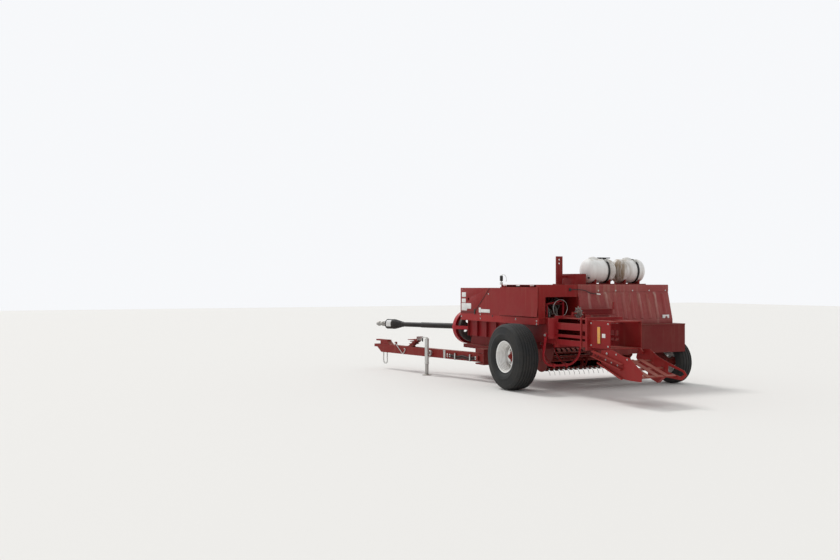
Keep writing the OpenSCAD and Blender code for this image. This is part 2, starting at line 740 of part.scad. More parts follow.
// A dished rim about the Y axis: its disc stands dish outwards from the tyre's middle
module wheel_rim(x, y, z, bead, w, dish, out, hub_back) {
    half = w / 2 * 0.72;
    face = y + out * dish;
    difference() {
        union() {
            turned(x, y, z, [[bead - 12, -half - 6], [bead + 14, -half - 6], [bead + 14, -half - 0.6],
                [bead - seat_gap, -half - 0.6], [bead - seat_gap, half + 0.6], [bead + 14, half + 0.6],
                [bead + 14, half + 6], [bead - 12, half + 6]]);
            rod_y(x, z, bead - 10, face - 7, face + 7);
            rod_y(x, z, 64, y - out * hub_back, face + out * 60);
        }
        rod_y(x, z, spindle_r + pin_gap, y - out * (hub_back + e), y + out * (e + pin_gap));
        for (a = [30:60:359])
            rod_y(x + (bead - 52) * cos(a), z + (bead - 52) * sin(a), 16, face - 10, face + 10);
    }
}

module left_tyre() color(black) tyre(0, left_tyre_y, left_tyre_d, left_tyre_w, left_bead);

module left_rim() color(steel)
    wheel_rim(0, left_tyre_y, left_r, left_bead, left_tyre_w, 0, 1, 200);

module right_tyre() color(black)
    tyre(-right_tyre_back, -right_tyre_y, right_tyre_d, right_tyre_w, right_bead);

module right_rim() color(steel)
    wheel_rim(-right_tyre_back, -right_tyre_y, right_r, right_bead, right_tyre_w, 20, -1, 110);

module pickup_frame() color(red) {
    for (y = [-pickup_left - 8, -pickup_right])
        difference() {
            union() {
                rod_y(reel_x, reel_z, 190, y, y + 8);
                side_plate([[lift_x - 30, lift_z - 20], [lift_x, lift_z - 34], [lift_x + 40, 380], [620, 250],
                    [reel_x - 60, reel_z - 175], [reel_x + 60, reel_z + 175], [660, 640],
                    [lift_x, lift_z + 34], [lift_x - 30, lift_z + 20]], y, y + 8);
            }
            rod_y(lift_x, lift_z, 15 + pin_gap, y - e, y + 9);
            rod_y(reel_x, reel_z, 20 + pin_gap, y - e, y + 9);
        }
    rod_y(570, 560, 28, -pickup_right + 7, -pickup_left - 7);
    rod_y(505, 405, 20, -pickup_right + 7, -pickup_left - 7);
    // Arm and spindle for the gauge wheel
    side_plate([[reel_x - 80, 420], [reel_x + 40, 420], [reel_x + 60, gauge_d / 2 - 10],
        [reel_x - 10, gauge_d / 2 - 10]], -pickup_right - 14, -pickup_right + e);
    rod_y(reel_x + 25, gauge_d / 2 + 20, 16, -pickup_right - 150, -pickup_right - 5);
}

module pickup_strippers() color(red) {
    pitch = (pickup_span - 40) / strippers;
    for (i = [0:strippers - 1])
        translate([reel_x, -pickup_left - 20 - pitch * (i + 0.5), reel_z]) rotate([90, 0, 0]) {
            rotate([0, 0, -70]) rotate_extrude(angle = 205, $fn = 64)
                translate([200, -pitch * 0.31]) square([5, pitch * 0.62]);
            rotate([0, 0, 135]) translate([200, -2, -pitch * 0.31]) cube([5, 62, pitch * 0.62]);
        }
    translate([reel_x, -pickup_right + 8 + seat_gap, reel_z]) rotate([-90, 0, 0])
        rotate([0, 0, -135]) translate([205, -60, 0]) cube([24, 24, pickup_span - 16 - 2 * seat_gap]);
}

module pickup_reel() color(black) {
    inner = -pickup_left - 30;
    outer = -pickup_right + 30;
    pitch = (pickup_span - 40) / strippers;
    rod_y(reel_x, reel_z, 20, -pickup_right + 2, -pickup_left + 4);
    rod_y(reel_x, reel_z, 38, outer - 12, inner + 12);
    for (y = [inner, outer])
        rod_y(reel_x, reel_z, 168, y - 4, y + 4);
    for (k = [0:3]) rotate_about(reel_x, reel_z, 90 * k + 20) {
        rod_y(reel_x + 150, reel_z, 13, outer, inner);
        for (i = [1:strippers - 1])
            translate([reel_x + 150, -pickup_left - 20 - pitch * i, reel_z]) rotate([0, 90, 0])
                cylinder(r = 5, h = tine_tip_r - 150, $fn = 12);
    }
}

// Turns its children about an axis along Y through x, z
module rotate_about(x, z, angle) {
    translate([x, 0, z]) rotate([0, angle, 0]) translate([-x, 0, -z]) children();
}

module wind_guard() color(red) {
    bx = 700;
    bz = 700;
    rod_y(bx, bz, 16, -pickup_right - 6 - seat_gap, -pickup_left + 6 + seat_gap);
    for (y = [-pickup_left + seat_gap, -pickup_right - 6 - seat_gap])
        side_plate([[bx - 25, bz + 20], [bx + 25, bz + 20], [bx + 15, 560], [bx - 40, 560]], y, y + 6);
    for (i = [0:11])
        translate([bx, -pickup_left - 76 - (pickup_span - 152) / 11 * i, bz]) {
            translate([0, 0, -260]) rotate([90, 0, 0]) rotate([0, 0, 25])
                rotate_extrude(angle = 65, $fn = 64) translate([260, 0]) circle(r = 6, $fn = 16);
        }
}

module gauge_wheel() color(black) {
    x = reel_x + 25;
    z = gauge_d / 2 + 20;
    difference() {
        turned(x, -pickup_right - 85, z, [[0, -45], [60, -45], [66, -14], [gauge_d / 2 - 60, -14],
            [gauge_d / 2 - 50, -44], [gauge_d / 2 - 14, -50], [gauge_d / 2, -30], [gauge_d / 2, 30],
            [gauge_d / 2 - 14, 50], [gauge_d / 2 - 50, 44], [gauge_d / 2 - 60, 14], [66, 14],
            [60, 45], [0, 45]]);
        rod_y(x, z, 16 + pin_gap, -pickup_right - 160, -pickup_right - 20);
    }
}

// Puts its children in the tongue's own frame, X from the pivot to the hitch
module on_tongue() {
    translate([tongue_x, tongue_y, tongue_z]) rotate([0, 0, tongue_angle]) children();
}

module tongue_beam() color(red) {
    hh = tongue_h / 2;
    hw = tongue_w / 2;
    on_tongue() difference() {
        union() {
            difference() {
                union() {
                    block([-70, -hw, -hh], [tongue_l - 160, hw, hh]);
                    // Lower hitch plate, as wide as the beam, with a chamfered nose
                    translate([0, 0, 20]) linear_extrude(hh - 20)
                        polygon([[tongue_l - 170, -hw], [tongue_l + 20, -hw], [tongue_l + 62, -hw + 30],
                            [tongue_l + 62, hw], [tongue_l - 170, hw]]);
                    side_plate([[tongue_l - 170, -hh], [tongue_l - 160, -hh], [tongue_l - hitch_r - 14, 22],
                        [tongue_l - 170, 22]], -hw, hw);
                }
                // Hollow between the pivot's boss and the nose
                block([80, -hw + 10, -hh + 10], [tongue_l - 260, hw - 10, hh - 10]);
            }
            // Upper hitch plate on its riser
            translate([0, 0, hh + 62]) linear_extrude(24)
                polygon([[tongue_l - 330, -hw + 10], [tongue_l + 20, -hw + 10], [tongue_l + 50, -20],
                    [tongue_l + 50, 20], [tongue_l + 20, hw - 10], [tongue_l - 330, hw - 10]]);
            side_plate([[tongue_l - 420, hh - e], [tongue_l - 120, hh - e], [tongue_l - 120, hh + 63],
                [tongue_l - 330, hh + 63]], -hw + 10, hw - 10);
        }
        translate([0, 0, -hh - e]) cylinder(r = pivot_r + pin_gap, h = tongue_h + 2);
        translate([tongue_l, 0, 0]) cylinder(r = hitch_r, h = 200);
    }
    // Stub that the jack turns on
    on_tongue() {
        translate([jack_at, hw - e, 0]) rotate([-90, 0, 0]) cylinder(r = 46, h = 6 + e);
        translate([jack_at, hw - e, 0]) rotate([-90, 0, 0]) cylinder(r = jack_pin, h = jack_boss - 6);
        hose_clamps();
    }
}

module shaft_support() color(red) {
    hh = tongue_h / 2;
    on_tongue() {
        block([1880, -50, hh], [2010, 50, hh + 12]);
        side_plate([[1900, hh + 11], [1985, hh + 11], [1800, hh + 120], [1700, hh + 120]], -44, -34);
        side_plate([[1900, hh + 11], [1985, hh + 11], [1800, hh + 120], [1700, hh + 120]], 34, 44);
        block([1690, -70, hh + 119], [1960, 70, hh + 131]);
        block([1690, -70, hh + 130], [1700, 70, hh + 190]);
    }
}

// A round tube swept along points in the X-Z plane, at y
module swept_tube(points, y, r, sides) {
    last = len(points) - 1;
    rings = [for (i = [0:last])
        let (d = points[min(i + 1, last)] - points[max(i - 1, 0)], u = d / norm(d))
        for (k = [0:sides - 1])
            let (a = 360 * k / sides)
            [points[i][0] - u[1] * r * cos(a), y + r * sin(a), points[i][1] + u[0] * r * cos(a)]];
    walls = [for (i = [0:last - 1], k = [0:sides - 1])
        let (n = (k + 1) % sides)
        [i * sides + k, i * sides + n, (i + 1) * sides + n, (i + 1) * sides + k]];
    polyhedron(rings, concat(walls, [[for (k = [sides - 1:-1:0]) k]],
        [[for (k = [0:sides - 1]) last * sides + k]]));
}

module hydraulic_hoses() color(black) {
    y = tongue_w / 2 + 17;
    // Two shallow sags, straight at both ends
    wave = [for (i = [0:24]) [hose_x + i * hose_l / 24, -22 + 10 * cos(720 * min(max(i - 1, 0), 22) / 22)]];
    on_tongue() {
        for (side = [-1, 1])
            swept_tube([for (p = wave) p + [0, side * 15]], y, 10, 10);
    }
}

// Clamps that hold the hoses to the tongue's left side, the block that they leave and their couplers
module hose_clamps() {
    side = tongue_w / 2;
    block([hose_x - 40, side - e, -48], [hose_x - seat_gap, side + 34, 24]);
    block([hose_x + hose_l + seat_gap, side - e, -48], [hose_x + hose_l + 12, side + 36, 24]);
    for (z = [-27, 3])
        rod_x(side + 17, z, 13, hose_x + hose_l + 11, hose_x + hose_l + 70);
    for (x = [hose_x + 160, hose_x + 540])
        difference() {
            block([x - 12, tongue_w / 2 - e, -70], [x + 12, tongue_w / 2 + 32, 45]);
            block([x - 13, tongue_w / 2 + 6, -64], [x + 13, tongue_w / 2 + 27.5, 39]);
        }
}

module safety_chain() color(steel) {
    pitch = 35.4;
    strand = 4;
    bend_r = 57.4;
    bend = 5;
    top = -tongue_h / 2 - 26;
    on_tongue() translate([tongue_l - 210, 0, top]) {
        for (side = [-1, 1])
            for (i = [0:strand - 1])
                translate([side * bend_r, 0, -pitch * i]) rotate([0, 90, 0]) rotate([i % 2 * 90, 0, 0])
                    chain_link();
        for (i = [0:bend - 1]) {
            a = 180 * (i + 0.5) / bend;
            translate([-bend_r * cos(a), 0, -pitch * (strand - 0.5) - bend_r * sin(a)])
                rotate([0, 90 - a, 0]) rotate([(i + strand) % 2 * 90, 0, 0]) chain_link();
        }
    }
    // Eyes under the tongue that the end links hang in
    on_tongue() for (side = [-1, 1])
        block([tongue_l - 210 + side * bend_r - 5, -5, top + 8], [tongue_l - 210 + side * bend_r + 5, 5,
            -tongue_h / 2]);
}

// One chain link, a rounded ring in its own X-Y plane
module chain_link() {
    half = 12;
    translate([0, 0, -4.5]) linear_extrude(9) difference() {
        chain_slot(half, 14);
        chain_slot(half, 5.5);
    }
}

module chain_slot(half, r) {
    for (side = [-1, 1])
        translate([side * half, 0]) circle(r = r, $fn = 24);
    square([2 * half, 2 * r], center = true);
}

module jack() color(steel) {
    reach = tongue_z;
    low = -180;
    tube = 430;
    on_tongue() translate([jack_at, jack_y, 0]) {
        difference() {
            union() {
                translate([0, 0, low]) cylinder(r = jack_r, h = tube);
                // Boss that turns on the tongue's stub
                translate([0, -jack_r - jack_boss, 0]) rotate([-90, 0, 0]) cylinder(r = 46, h = jack_r + 30);
            }
            translate([0, 0, low - e]) cylinder(r = jack_r - 6, h = tube - 10);
            translate([0, -jack_r - jack_boss - e, 0]) rotate([-90, 0, 0])
                cylinder(r = jack_pin + pin_gap, h = jack_boss - 6);
        }
        // Inner leg and foot
        translate([0, 0, -reach + 8]) cylinder(r = jack_r - 6 - seat_gap, h = reach + 60);
        translate([0, 0, -reach]) cylinder(r = 80, h = 9);
        // Crank on top
        translate([0, 0, low + tube - e]) cylinder(r = 14, h = 26);
        translate([0, 0, low + tube + 16]) rotate([0, 90, 0]) cylinder(r = 9, h = 130);
        translate([121, 0, low + tube - 60]) cylinder(r = 9, h = 85);
    }
}

module chute_left() color(red) {
    y0 = chute_y - 6;
    difference() {
        side_plate([[-1682, 676], [-1912, 690], [-2126, 627], [-2248, 614], [-2420, 500], [-2494, 446],
            [-2468, 331], [-2234, 331], [-2111, 340], [-1700, 480], [-1640, 560]], y0, chute_y);
        rod_y(hinge_x, hinge_z, 12 + pin_gap, y0 - e, chute_y + e);
    }
    // Channel along the outside, with holes in its front part
    difference() {
        side_plate([[-1518, 662], [-1496, 585], [-2110, 450], [-2132, 527]], chute_y - e, chute_y + 45);
        side_plate([[-1480, 653], [-1480, 597], [-2128, 462], [-2140, 517]], chute_y + 8, chute_y + 46);
        for (x = [-1560, -1620, -1680])
            rod_y(x, 617 + (x + 1510) * 0.22, 12, chute_y - 10, chute_y + 10);
    }
    // Flange along the lower edge
    side_plate([[-1622, 520], [-1622, 500], [-2111, 330], [-2111, 352]], chute_y - e, chute_y + 30);
}

module chute_floor() color(red) {
    y0 = chute_y - 6;
    for (y = [-190, -40, 110])
        side_plate([[-1900, 560], [-1900, 552], [-2440, 377], [-2440, 385]], y, y + 80);
    for (x = [-1930, -2170, -2400])
        side_plate([[x - 25, 552 + (x + 25 + 1900) * 0.324 - 30], [x + 25, 552 + (x + 25 + 1900) * 0.324 - 14],
            [x + 25, 552 + (x + 25 + 1900) * 0.324], [x - 25, 552 + (x + 25 + 1900) * 0.324 - 16]], -y0, y0);
}

module chute_right() color(red) {
    y0 = 6 - chute_y;
    difference() {
        side_plate([[-1682, 676], [-1912, 690], [-2080, 600], [-2264, 540], [-2560, 458], [-2609, 405],
            [-2520, 333], [-2234, 345], [-2111, 345], [-1700, 480], [-1640, 560]], y0, -chute_y);
        rod_y(hinge_x, hinge_z, 12 + pin_gap, y0 - e - 10, y0 + 10);
        // Open loop at the rear
        side_plate([[-2270, 500], [-2530, 440], [-2560, 410], [-2500, 375], [-2260, 420]], y0 + 10, y0 - 20);
    }
    // Lip box inside the wing
    side_plate([[-1939, 463], [-2223, 345], [-2117, 268], [-1933, 325]], y0 - e, y0 + 50);
}

place() main_frame();
place() bale_chamber();
place() tension_rails();
place() end_frame();
place() plunger();
place() gearbox();
place() front_shield();
place() side_skirt();
place() twine_box();
place() twine_door();
place() rear_wall();
place() feeder_housing();
place() feeder_floor();
place() rear_box();
place() feeder_tines();
place() feeder_drive();
place() knotter_frame();
place() knotters();
place() cross_beam();
place() needle_yoke();
place() measuring_wheel();
place() tank_cradle();
place() tank_inner();
place() tank_outer();
place() tank_straps();
place() flywheel_guard();
place() flywheel();
place() driveline_guard();
place() pto_shaft();
place() left_tyre();
place() left_rim();
place() right_tyre();
place() right_rim();
place() pickup_frame();
place() pickup_strippers();
place() pickup_reel();
place() wind_guard();
place() gauge_wheel();
place() tongue_beam();
place() shaft_support();
place() hydraulic_hoses();
place() safety_chain();
place() jack();
place() chute_floor();
place() chute_left();
place() chute_right();
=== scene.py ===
import json
import math

import bpy
from mathutils import Matrix, Vector

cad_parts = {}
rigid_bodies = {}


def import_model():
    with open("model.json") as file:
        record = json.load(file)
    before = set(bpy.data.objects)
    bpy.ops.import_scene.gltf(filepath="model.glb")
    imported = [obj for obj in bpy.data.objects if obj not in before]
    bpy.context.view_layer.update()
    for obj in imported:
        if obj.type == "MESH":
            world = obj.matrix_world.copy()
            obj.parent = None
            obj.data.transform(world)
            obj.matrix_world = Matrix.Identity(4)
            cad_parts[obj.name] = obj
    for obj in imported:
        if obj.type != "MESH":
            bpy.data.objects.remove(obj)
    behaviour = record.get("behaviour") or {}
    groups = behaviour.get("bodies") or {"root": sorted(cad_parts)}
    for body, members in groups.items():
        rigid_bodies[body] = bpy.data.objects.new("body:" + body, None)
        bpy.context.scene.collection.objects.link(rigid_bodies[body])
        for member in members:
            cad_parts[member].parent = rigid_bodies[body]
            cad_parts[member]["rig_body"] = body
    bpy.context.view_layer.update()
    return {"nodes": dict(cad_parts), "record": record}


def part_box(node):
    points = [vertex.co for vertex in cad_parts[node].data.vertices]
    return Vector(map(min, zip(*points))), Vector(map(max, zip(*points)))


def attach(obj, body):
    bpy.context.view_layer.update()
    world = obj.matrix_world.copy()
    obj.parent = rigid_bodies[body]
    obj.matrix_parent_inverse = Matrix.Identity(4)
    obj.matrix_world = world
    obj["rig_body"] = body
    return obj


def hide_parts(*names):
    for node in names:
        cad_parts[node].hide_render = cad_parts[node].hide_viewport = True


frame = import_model()
nodes = frame["nodes"]
bodyOf = {name: node["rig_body"] for name, node in nodes.items()}
slotOf = {entry["node"]: entry["material_slot"] for entry in frame["record"]["subparts"]}

# Places below are in metres from the left wheel's axle, the chamber's middle and the ground
leftTyreY = 0.62
axleLow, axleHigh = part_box("left_tyre")
originX = (axleLow.x + axleHigh.x) / 2
originY = (axleLow.y + axleHigh.y) / 2 - leftTyreY


def spot(x, y, z):
    return Vector((x + originX, y + originY, z))


# Camera, floor and light

view = {
    "place": (-11.305, 7.705, 1.549),
    "yaw": -26.258,
    "pitch": 0.231,
    "lens": 38.93,
    "floorSize": 90.0,
    "floorColour": (0.80, 0.785, 0.75, 1),
    "skyColour": (0.93, 0.94, 0.96, 1),
    "skyStrength": 0.74,
    "sunStrength": 1.5,
    "sunTurn": (40, -12, 118),
    "sunSpread": 14,
}


def makeView():
    scene = bpy.context.scene
    scene.view_settings.view_transform = "Standard"
    bpy.ops.object.camera_add(location=spot(*view["place"]))
    camera = bpy.context.object
    camera.rotation_euler = (math.radians(90 + view["pitch"]), 0, math.radians(view["yaw"] - 90))
    camera.data.lens = view["lens"]
    camera.data.clip_end = 200
    scene.camera = camera

    world = bpy.data.worlds.new("paleSky")
    scene.world = world
    world.use_nodes = True
    tree = world.node_tree
    background = tree.nodes["Background"]
    background.inputs["Color"].default_value = view["skyColour"]
    seen = tree.nodes.new("ShaderNodeLightPath")
    most = tree.nodes.new("ShaderNodeMath")
    most.operation = "MAXIMUM"
    tree.links.new(seen.outputs["Is Camera Ray"], most.inputs[0])
    tree.links.new(seen.outputs["Is Glossy Ray"], most.inputs[1])
    level = tree.nodes.new("ShaderNodeMapRange")
    level.inputs["To Min"].default_value = view["skyStrength"]
    level.inputs["To Max"].default_value = 1.0
    tree.links.new(most.outputs[0], level.inputs["Value"])
    tree.links.new(level.outputs["Result"], background.inputs["Strength"])

    bpy.ops.mesh.primitive_plane_add(size=view["floorSize"], location=(0, 0, 0))
    floor = bpy.context.object
    floor.name = "floor"
    floorMaterial = bpy.data.materials.new("paleFloor")
    floorMaterial.use_nodes = True
    floorShader = floorMaterial.node_tree.nodes["Principled BSDF"]
    floorShader.inputs["Base Color"].default_value = view["floorColour"]
    floorShader.inputs["Roughness"].default_value = 0.9
    floor.data.materials.append(floorMaterial)

    bpy.ops.object.light_add(type="SUN", location=(0, 0, 8))
    sun = bpy.context.object
    sun.data.energy = view["sunStrength"]
    sun.data.angle = math.radians(view["sunSpread"])
    sun.rotation_euler = [math.radians(a) for a in view["sunTurn"]]


makeView()
print("view is set")

# Materials


def addNode(tree, kind, sockets=None, **settings):
    node = tree.nodes.new(kind)
    for key, value in settings.items():
        setattr(node, key, value)
    for key, value in (sockets or {}).items():
        if isinstance(value, bpy.types.NodeSocket):
            tree.links.new(value, node.inputs[key])
        else:
            node.inputs[key].default_value = value
    return node


def noise(tree, place, scale, detail, roughness=0.6):
    return addNode(tree, "ShaderNodeTexNoise", {"Vector": place, "Scale": scale, "Detail": detail,
                   "Roughness": roughness}).outputs["Fac"]


def ramp(tree, value, low, high, to=(0.0, 1.0)):
    return addNode(tree, "ShaderNodeMapRange", {"Value": value, "From Min": low, "From Max": high,
                   "To Min": to[0], "To Max": to[1]}).outputs["Result"]


def calc(tree, operation, a, b=0.0):
    node = addNode(tree, "ShaderNodeMath", {0: a, 1: b}, operation=operation)
    node.use_clamp = operation not in ("SUBTRACT", "ABSOLUTE")
    return node.outputs[0]


def times(tree, a, b):
    return calc(tree, "MULTIPLY", a, b)


def blendColour(tree, factor, a, b):
    node = addNode(tree, "ShaderNodeMix", data_type="RGBA")
    for socket, value in ((node.inputs[0], factor), (node.inputs[6], a), (node.inputs[7], b)):
        if isinstance(value, bpy.types.NodeSocket):
            tree.links.new(value, socket)
        else:
            socket.default_value = value if isinstance(value, float) else (*value[:3], 1)
    return node.outputs[2]


def startMaterial(name):
    material = bpy.data.materials.new(name)
    material.use_nodes = True
    tree = material.node_tree
    place = addNode(tree, "ShaderNodeTexCoord").outputs["Object"]
    return material, tree, tree.nodes["Principled BSDF"], place


def stretched(tree, place, scale):
    return addNode(tree, "ShaderNodeMapping", {"Vector": place, "Scale": scale}).outputs["Vector"]


def addBump(tree, shader, height, strength, distance):
    bump = addNode(tree, "ShaderNodeBump", {"Height": height, "Strength": strength, "Distance": distance})
    tree.links.new(bump.outputs["Normal"], shader.inputs["Normal"])


def partOf(tree, vector, letter):
    return addNode(tree, "ShaderNodeSeparateXYZ", {"Vector": vector}).outputs[letter]


def upward(tree, low, high):  # how far a surface faces the sky
    normal = addNode(tree, "ShaderNodeNewGeometry").outputs["Normal"]
    return ramp(tree, partOf(tree, normal, "Z"), low, high)


dustColour = (0.34, 0.27, 0.18)
chaffColour = (0.50, 0.43, 0.29)
bareColour = (0.16, 0.105, 0.085)
stainColour = (0.23, 0.155, 0.085)


def paintMaterial(name, base, faded, fade, streaks, dust, chips=0.5, gloss=0.42):
    material, tree, shader, place = startMaterial(name)
    cloud = noise(tree, place, 1.7, 5.0)
    mottle = noise(tree, place, 19.0, 6.0, 0.7)
    sun = ramp(tree, cloud, 0.35, 0.65, (fade * 0.45, fade))
    colour = blendColour(tree, sun, base, faded)
    colour = blendColour(tree, ramp(tree, mottle, 0.3, 0.7, (0.0, 0.35)), colour, [c * 0.72 for c in base])
    runs = noise(tree, stretched(tree, place, (15, 15, 0.9)), 1.0, 3.0, 0.55)
    runMask = times(tree, ramp(tree, runs, 0.54, 0.70), ramp(tree, cloud, 0.38, 0.58, (0.25, 1.0)))
    runMask = times(tree, runMask, streaks)
    colour = blendColour(tree, runMask, colour, chaffColour)
    settled = ramp(tree, noise(tree, place, 7.0, 8.0, 0.72), 0.30, 0.80, (0.30, 0.95))
    flat = times(tree, upward(tree, 0.35, 0.9), settled)
    film = times(tree, ramp(tree, noise(tree, place, 3.1, 7.0, 0.7), 0.42, 0.8), 0.22)
    height = partOf(tree, place, "Z")
    low = times(tree, ramp(tree, height, 0.75, 0.15, (0.0, 0.45)), ramp(tree, mottle, 0.35, 0.7))
    dirt = calc(tree, "MAXIMUM", calc(tree, "MAXIMUM", flat, film), low)
    dirt = times(tree, dirt, dust)
    colour = blendColour(tree, dirt, colour, dustColour)
    edge = addNode(tree, "ShaderNodeBevel", {"Radius": 0.008}, samples=4).outputs["Normal"]
    plain = addNode(tree, "ShaderNodeNewGeometry").outputs["Normal"]
    turn = addNode(tree, "ShaderNodeVectorMath", {0: edge, 1: plain}, operation="DOT_PRODUCT")
    patchy = ramp(tree, noise(tree, place, 38.0, 5.0, 0.75), 0.50, 0.60)
    bare = times(tree, ramp(tree, turn.outputs["Value"], 0.96, 0.80), patchy)
    flecks = ramp(tree, noise(tree, place, 61.0, 4.0, 0.8), 0.74, 0.78, (0.0, 0.8))
    worn = times(tree, calc(tree, "MAXIMUM", bare, flecks), chips)
    colour = blendColour(tree, worn, colour, bareColour)
    tree.links.new(colour, shader.inputs["Base Color"])
    rough = calc(tree, "ADD", ramp(tree, cloud, 0.3, 0.7, (gloss, gloss + 0.14)), times(tree, dirt, 0.35))
    tree.links.new(rough, shader.inputs["Roughness"])
    shader.inputs["Specular IOR Level"].default_value = 0.17
    ripple = calc(tree, "ADD", times(tree, noise(tree, place, 5.0, 2.0), 0.7), times(tree, mottle, 0.06))
    addBump(tree, shader, ripple, 0.25, 0.012)
    return material


ribDust = {
    "first": -0.790, "pitch": 0.155, "low": 0.96, "high": 1.45, "colour": (0.62, 0.50, 0.42), "level": 0.55,
}


def addRibDust(material):  # pale dust that lies along the pressed ribs of the rear wall
    tree = material.node_tree
    shader = tree.nodes["Principled BSDF"]
    place = addNode(tree, "ShaderNodeTexCoord").outputs["Object"]
    across = calc(tree, "SUBTRACT", partOf(tree, place, "Y"), originY + ribDust["first"])
    waver = calc(tree, "SUBTRACT", noise(tree, place, 2.6, 3.0), 0.5)
    wavy = {0: waver, 1: 0.05, 2: across}
    across = addNode(tree, "ShaderNodeMath", wavy, operation="MULTIPLY_ADD").outputs[0]
    phase = addNode(tree, "ShaderNodeMath", {0: across, 1: ribDust["pitch"]}, operation="PINGPONG").outputs[0]
    row = addNode(tree, "ShaderNodeMapping", {"Vector": place, "Scale": (0.0, 1.0 / ribDust["pitch"], 0.0),
                  "Location": (0.0, 3.3, 0.0)}).outputs["Vector"]
    share = ramp(tree, noise(tree, row, 0.9, 2.0, 0.4), 0.42, 0.62, (0.15, 1.0))
    lump = ramp(tree, noise(tree, stretched(tree, place, (9, 9, 3.0)), 1.0, 6.0, 0.7), 0.36, 0.62, (0.2, 1.0))
    mask = times(tree, ramp(tree, phase, 0.034, 0.012), times(tree, share, lump))
    higher = ramp(tree, partOf(tree, place, "Z"), ribDust["low"], ribDust["high"], (0.35, 1.0))
    mask = times(tree, mask, higher)
    link = shader.inputs["Base Color"].links[0]
    colour = blendColour(tree, times(tree, mask, ribDust["level"]), link.from_socket, ribDust["colour"])
    tree.links.new(colour, shader.inputs["Base Color"])


def metalMaterial(name, base, rust, rusty, rough, metallic, dust):
    material, tree, shader, place = startMaterial(name)
    patch = noise(tree, place, 9.0, 7.0, 0.7)
    grain = noise(tree, stretched(tree, place, (60, 60, 8)), 1.0, 3.0)
    colour = blendColour(tree, ramp(tree, grain, 0.3, 0.7, (0.0, 0.4)), base, [c * 0.6 for c in base])
    rusted = times(tree, ramp(tree, patch, 0.48, 0.66), rusty)
    colour = blendColour(tree, rusted, colour, rust)
    dirt = times(tree, upward(tree, 0.3, 0.9), ramp(tree, patch, 0.3, 0.6, (0.2, dust)))
    colour = blendColour(tree, dirt, colour, dustColour)
    tree.links.new(colour, shader.inputs["Base Color"])
    cover = calc(tree, "MAXIMUM", rusted, dirt)
    tree.links.new(ramp(tree, cover, 0.0, 1.0, (metallic, 0.0)), shader.inputs["Metallic"])
    rough = calc(tree, "ADD", ramp(tree, grain, 0.2, 0.8, (rough, rough + 0.12)), times(tree, cover, 0.35))
    tree.links.new(rough, shader.inputs["Roughness"])
    addBump(tree, shader, times(tree, patch, 0.8), 0.3, 0.004)
    return material


def rubberMaterial(name, base, dust, level, rough=0.72, fine=45.0):
    material, tree, shader, place = startMaterial(name)
    cloud = noise(tree, place, 4.0, 6.0, 0.65)
    grit = noise(tree, place, fine, 5.0, 0.75)
    colour = blendColour(tree, ramp(tree, grit, 0.3, 0.75, (0.0, 0.6)), base, [c * 1.9 for c in base])
    film = times(tree, ramp(tree, cloud, 0.36, 0.72), level)
    height = partOf(tree, place, "Z")
    low = times(tree, ramp(tree, height, 0.30, 0.02, (0.0, level)), ramp(tree, grit, 0.35, 0.65))
    film = calc(tree, "MAXIMUM", film, low)
    film = calc(tree, "MAXIMUM", film, times(tree, upward(tree, 0.5, 1.0), level * 0.5))
    colour = blendColour(tree, film, colour, dust)
    tree.links.new(colour, shader.inputs["Base Color"])
    tree.links.new(ramp(tree, film, 0.0, 1.0, (rough, 0.95)), shader.inputs["Roughness"])
    shader.inputs["Specular IOR Level"].default_value = 0.25
    addBump(tree, shader, grit, 0.25, 0.003)
    return material


def tankMaterial(name):
    material, tree, shader, place = startMaterial(name)
    cloud = noise(tree, place, 3.2, 6.0, 0.65)
    fading = ramp(tree, cloud, 0.35, 0.7, (0.0, 0.7))
    colour = blendColour(tree, fading, (0.90, 0.90, 0.88), (0.85, 0.85, 0.82))
    runs = noise(tree, stretched(tree, place, (14, 14, 1.4)), 1.0, 4.0, 0.6)
    across = partOf(tree, place, "Y")
    between = originY - 1.36  # the middle of the gap between both tanks
    near = ramp(tree, calc(tree, "ABSOLUTE", calc(tree, "SUBTRACT", across, between)), 0.30, 0.07)
    stain = times(tree, ramp(tree, runs, 0.34, 0.58), calc(tree, "MAXIMUM", near, 0.10))
    colour = blendColour(tree, times(tree, stain, 0.92), colour, stainColour)
    film = ramp(tree, noise(tree, place, 11.0, 6.0), 0.42, 0.6, (0.1, 0.75))
    top = times(tree, upward(tree, 0.75, 1.0), film)
    colour = blendColour(tree, top, colour, (0.42, 0.34, 0.24))
    tree.links.new(colour, shader.inputs["Base Color"])
    tree.links.new(ramp(tree, cloud, 0.3, 0.7, (0.42, 0.60)), shader.inputs["Roughness"])
    shader.inputs["Specular IOR Level"].default_value = 0.3
    addBump(tree, shader, noise(tree, place, 26.0, 3.0), 0.12, 0.006)
    return material


def plateMaterial(name, base):
    material, tree, shader, place = startMaterial(name)
    cloud = noise(tree, place, 30.0, 5.0, 0.65)
    colour = blendColour(tree, ramp(tree, cloud, 0.3, 0.7, (0.0, 0.25)), base, [c * 0.6 for c in base])
    film = times(tree, ramp(tree, noise(tree, place, 7.0, 6.0, 0.7), 0.45, 0.75), 0.25)
    colour = blendColour(tree, film, colour, dustColour)
    tree.links.new(colour, shader.inputs["Base Color"])
    tree.links.new(ramp(tree, cloud, 0.2, 0.8, (0.4, 0.55)), shader.inputs["Roughness"])
    shader.inputs["Coat Weight"].default_value = 0.2
    addBump(tree, shader, cloud, 0.1, 0.002)
    return material


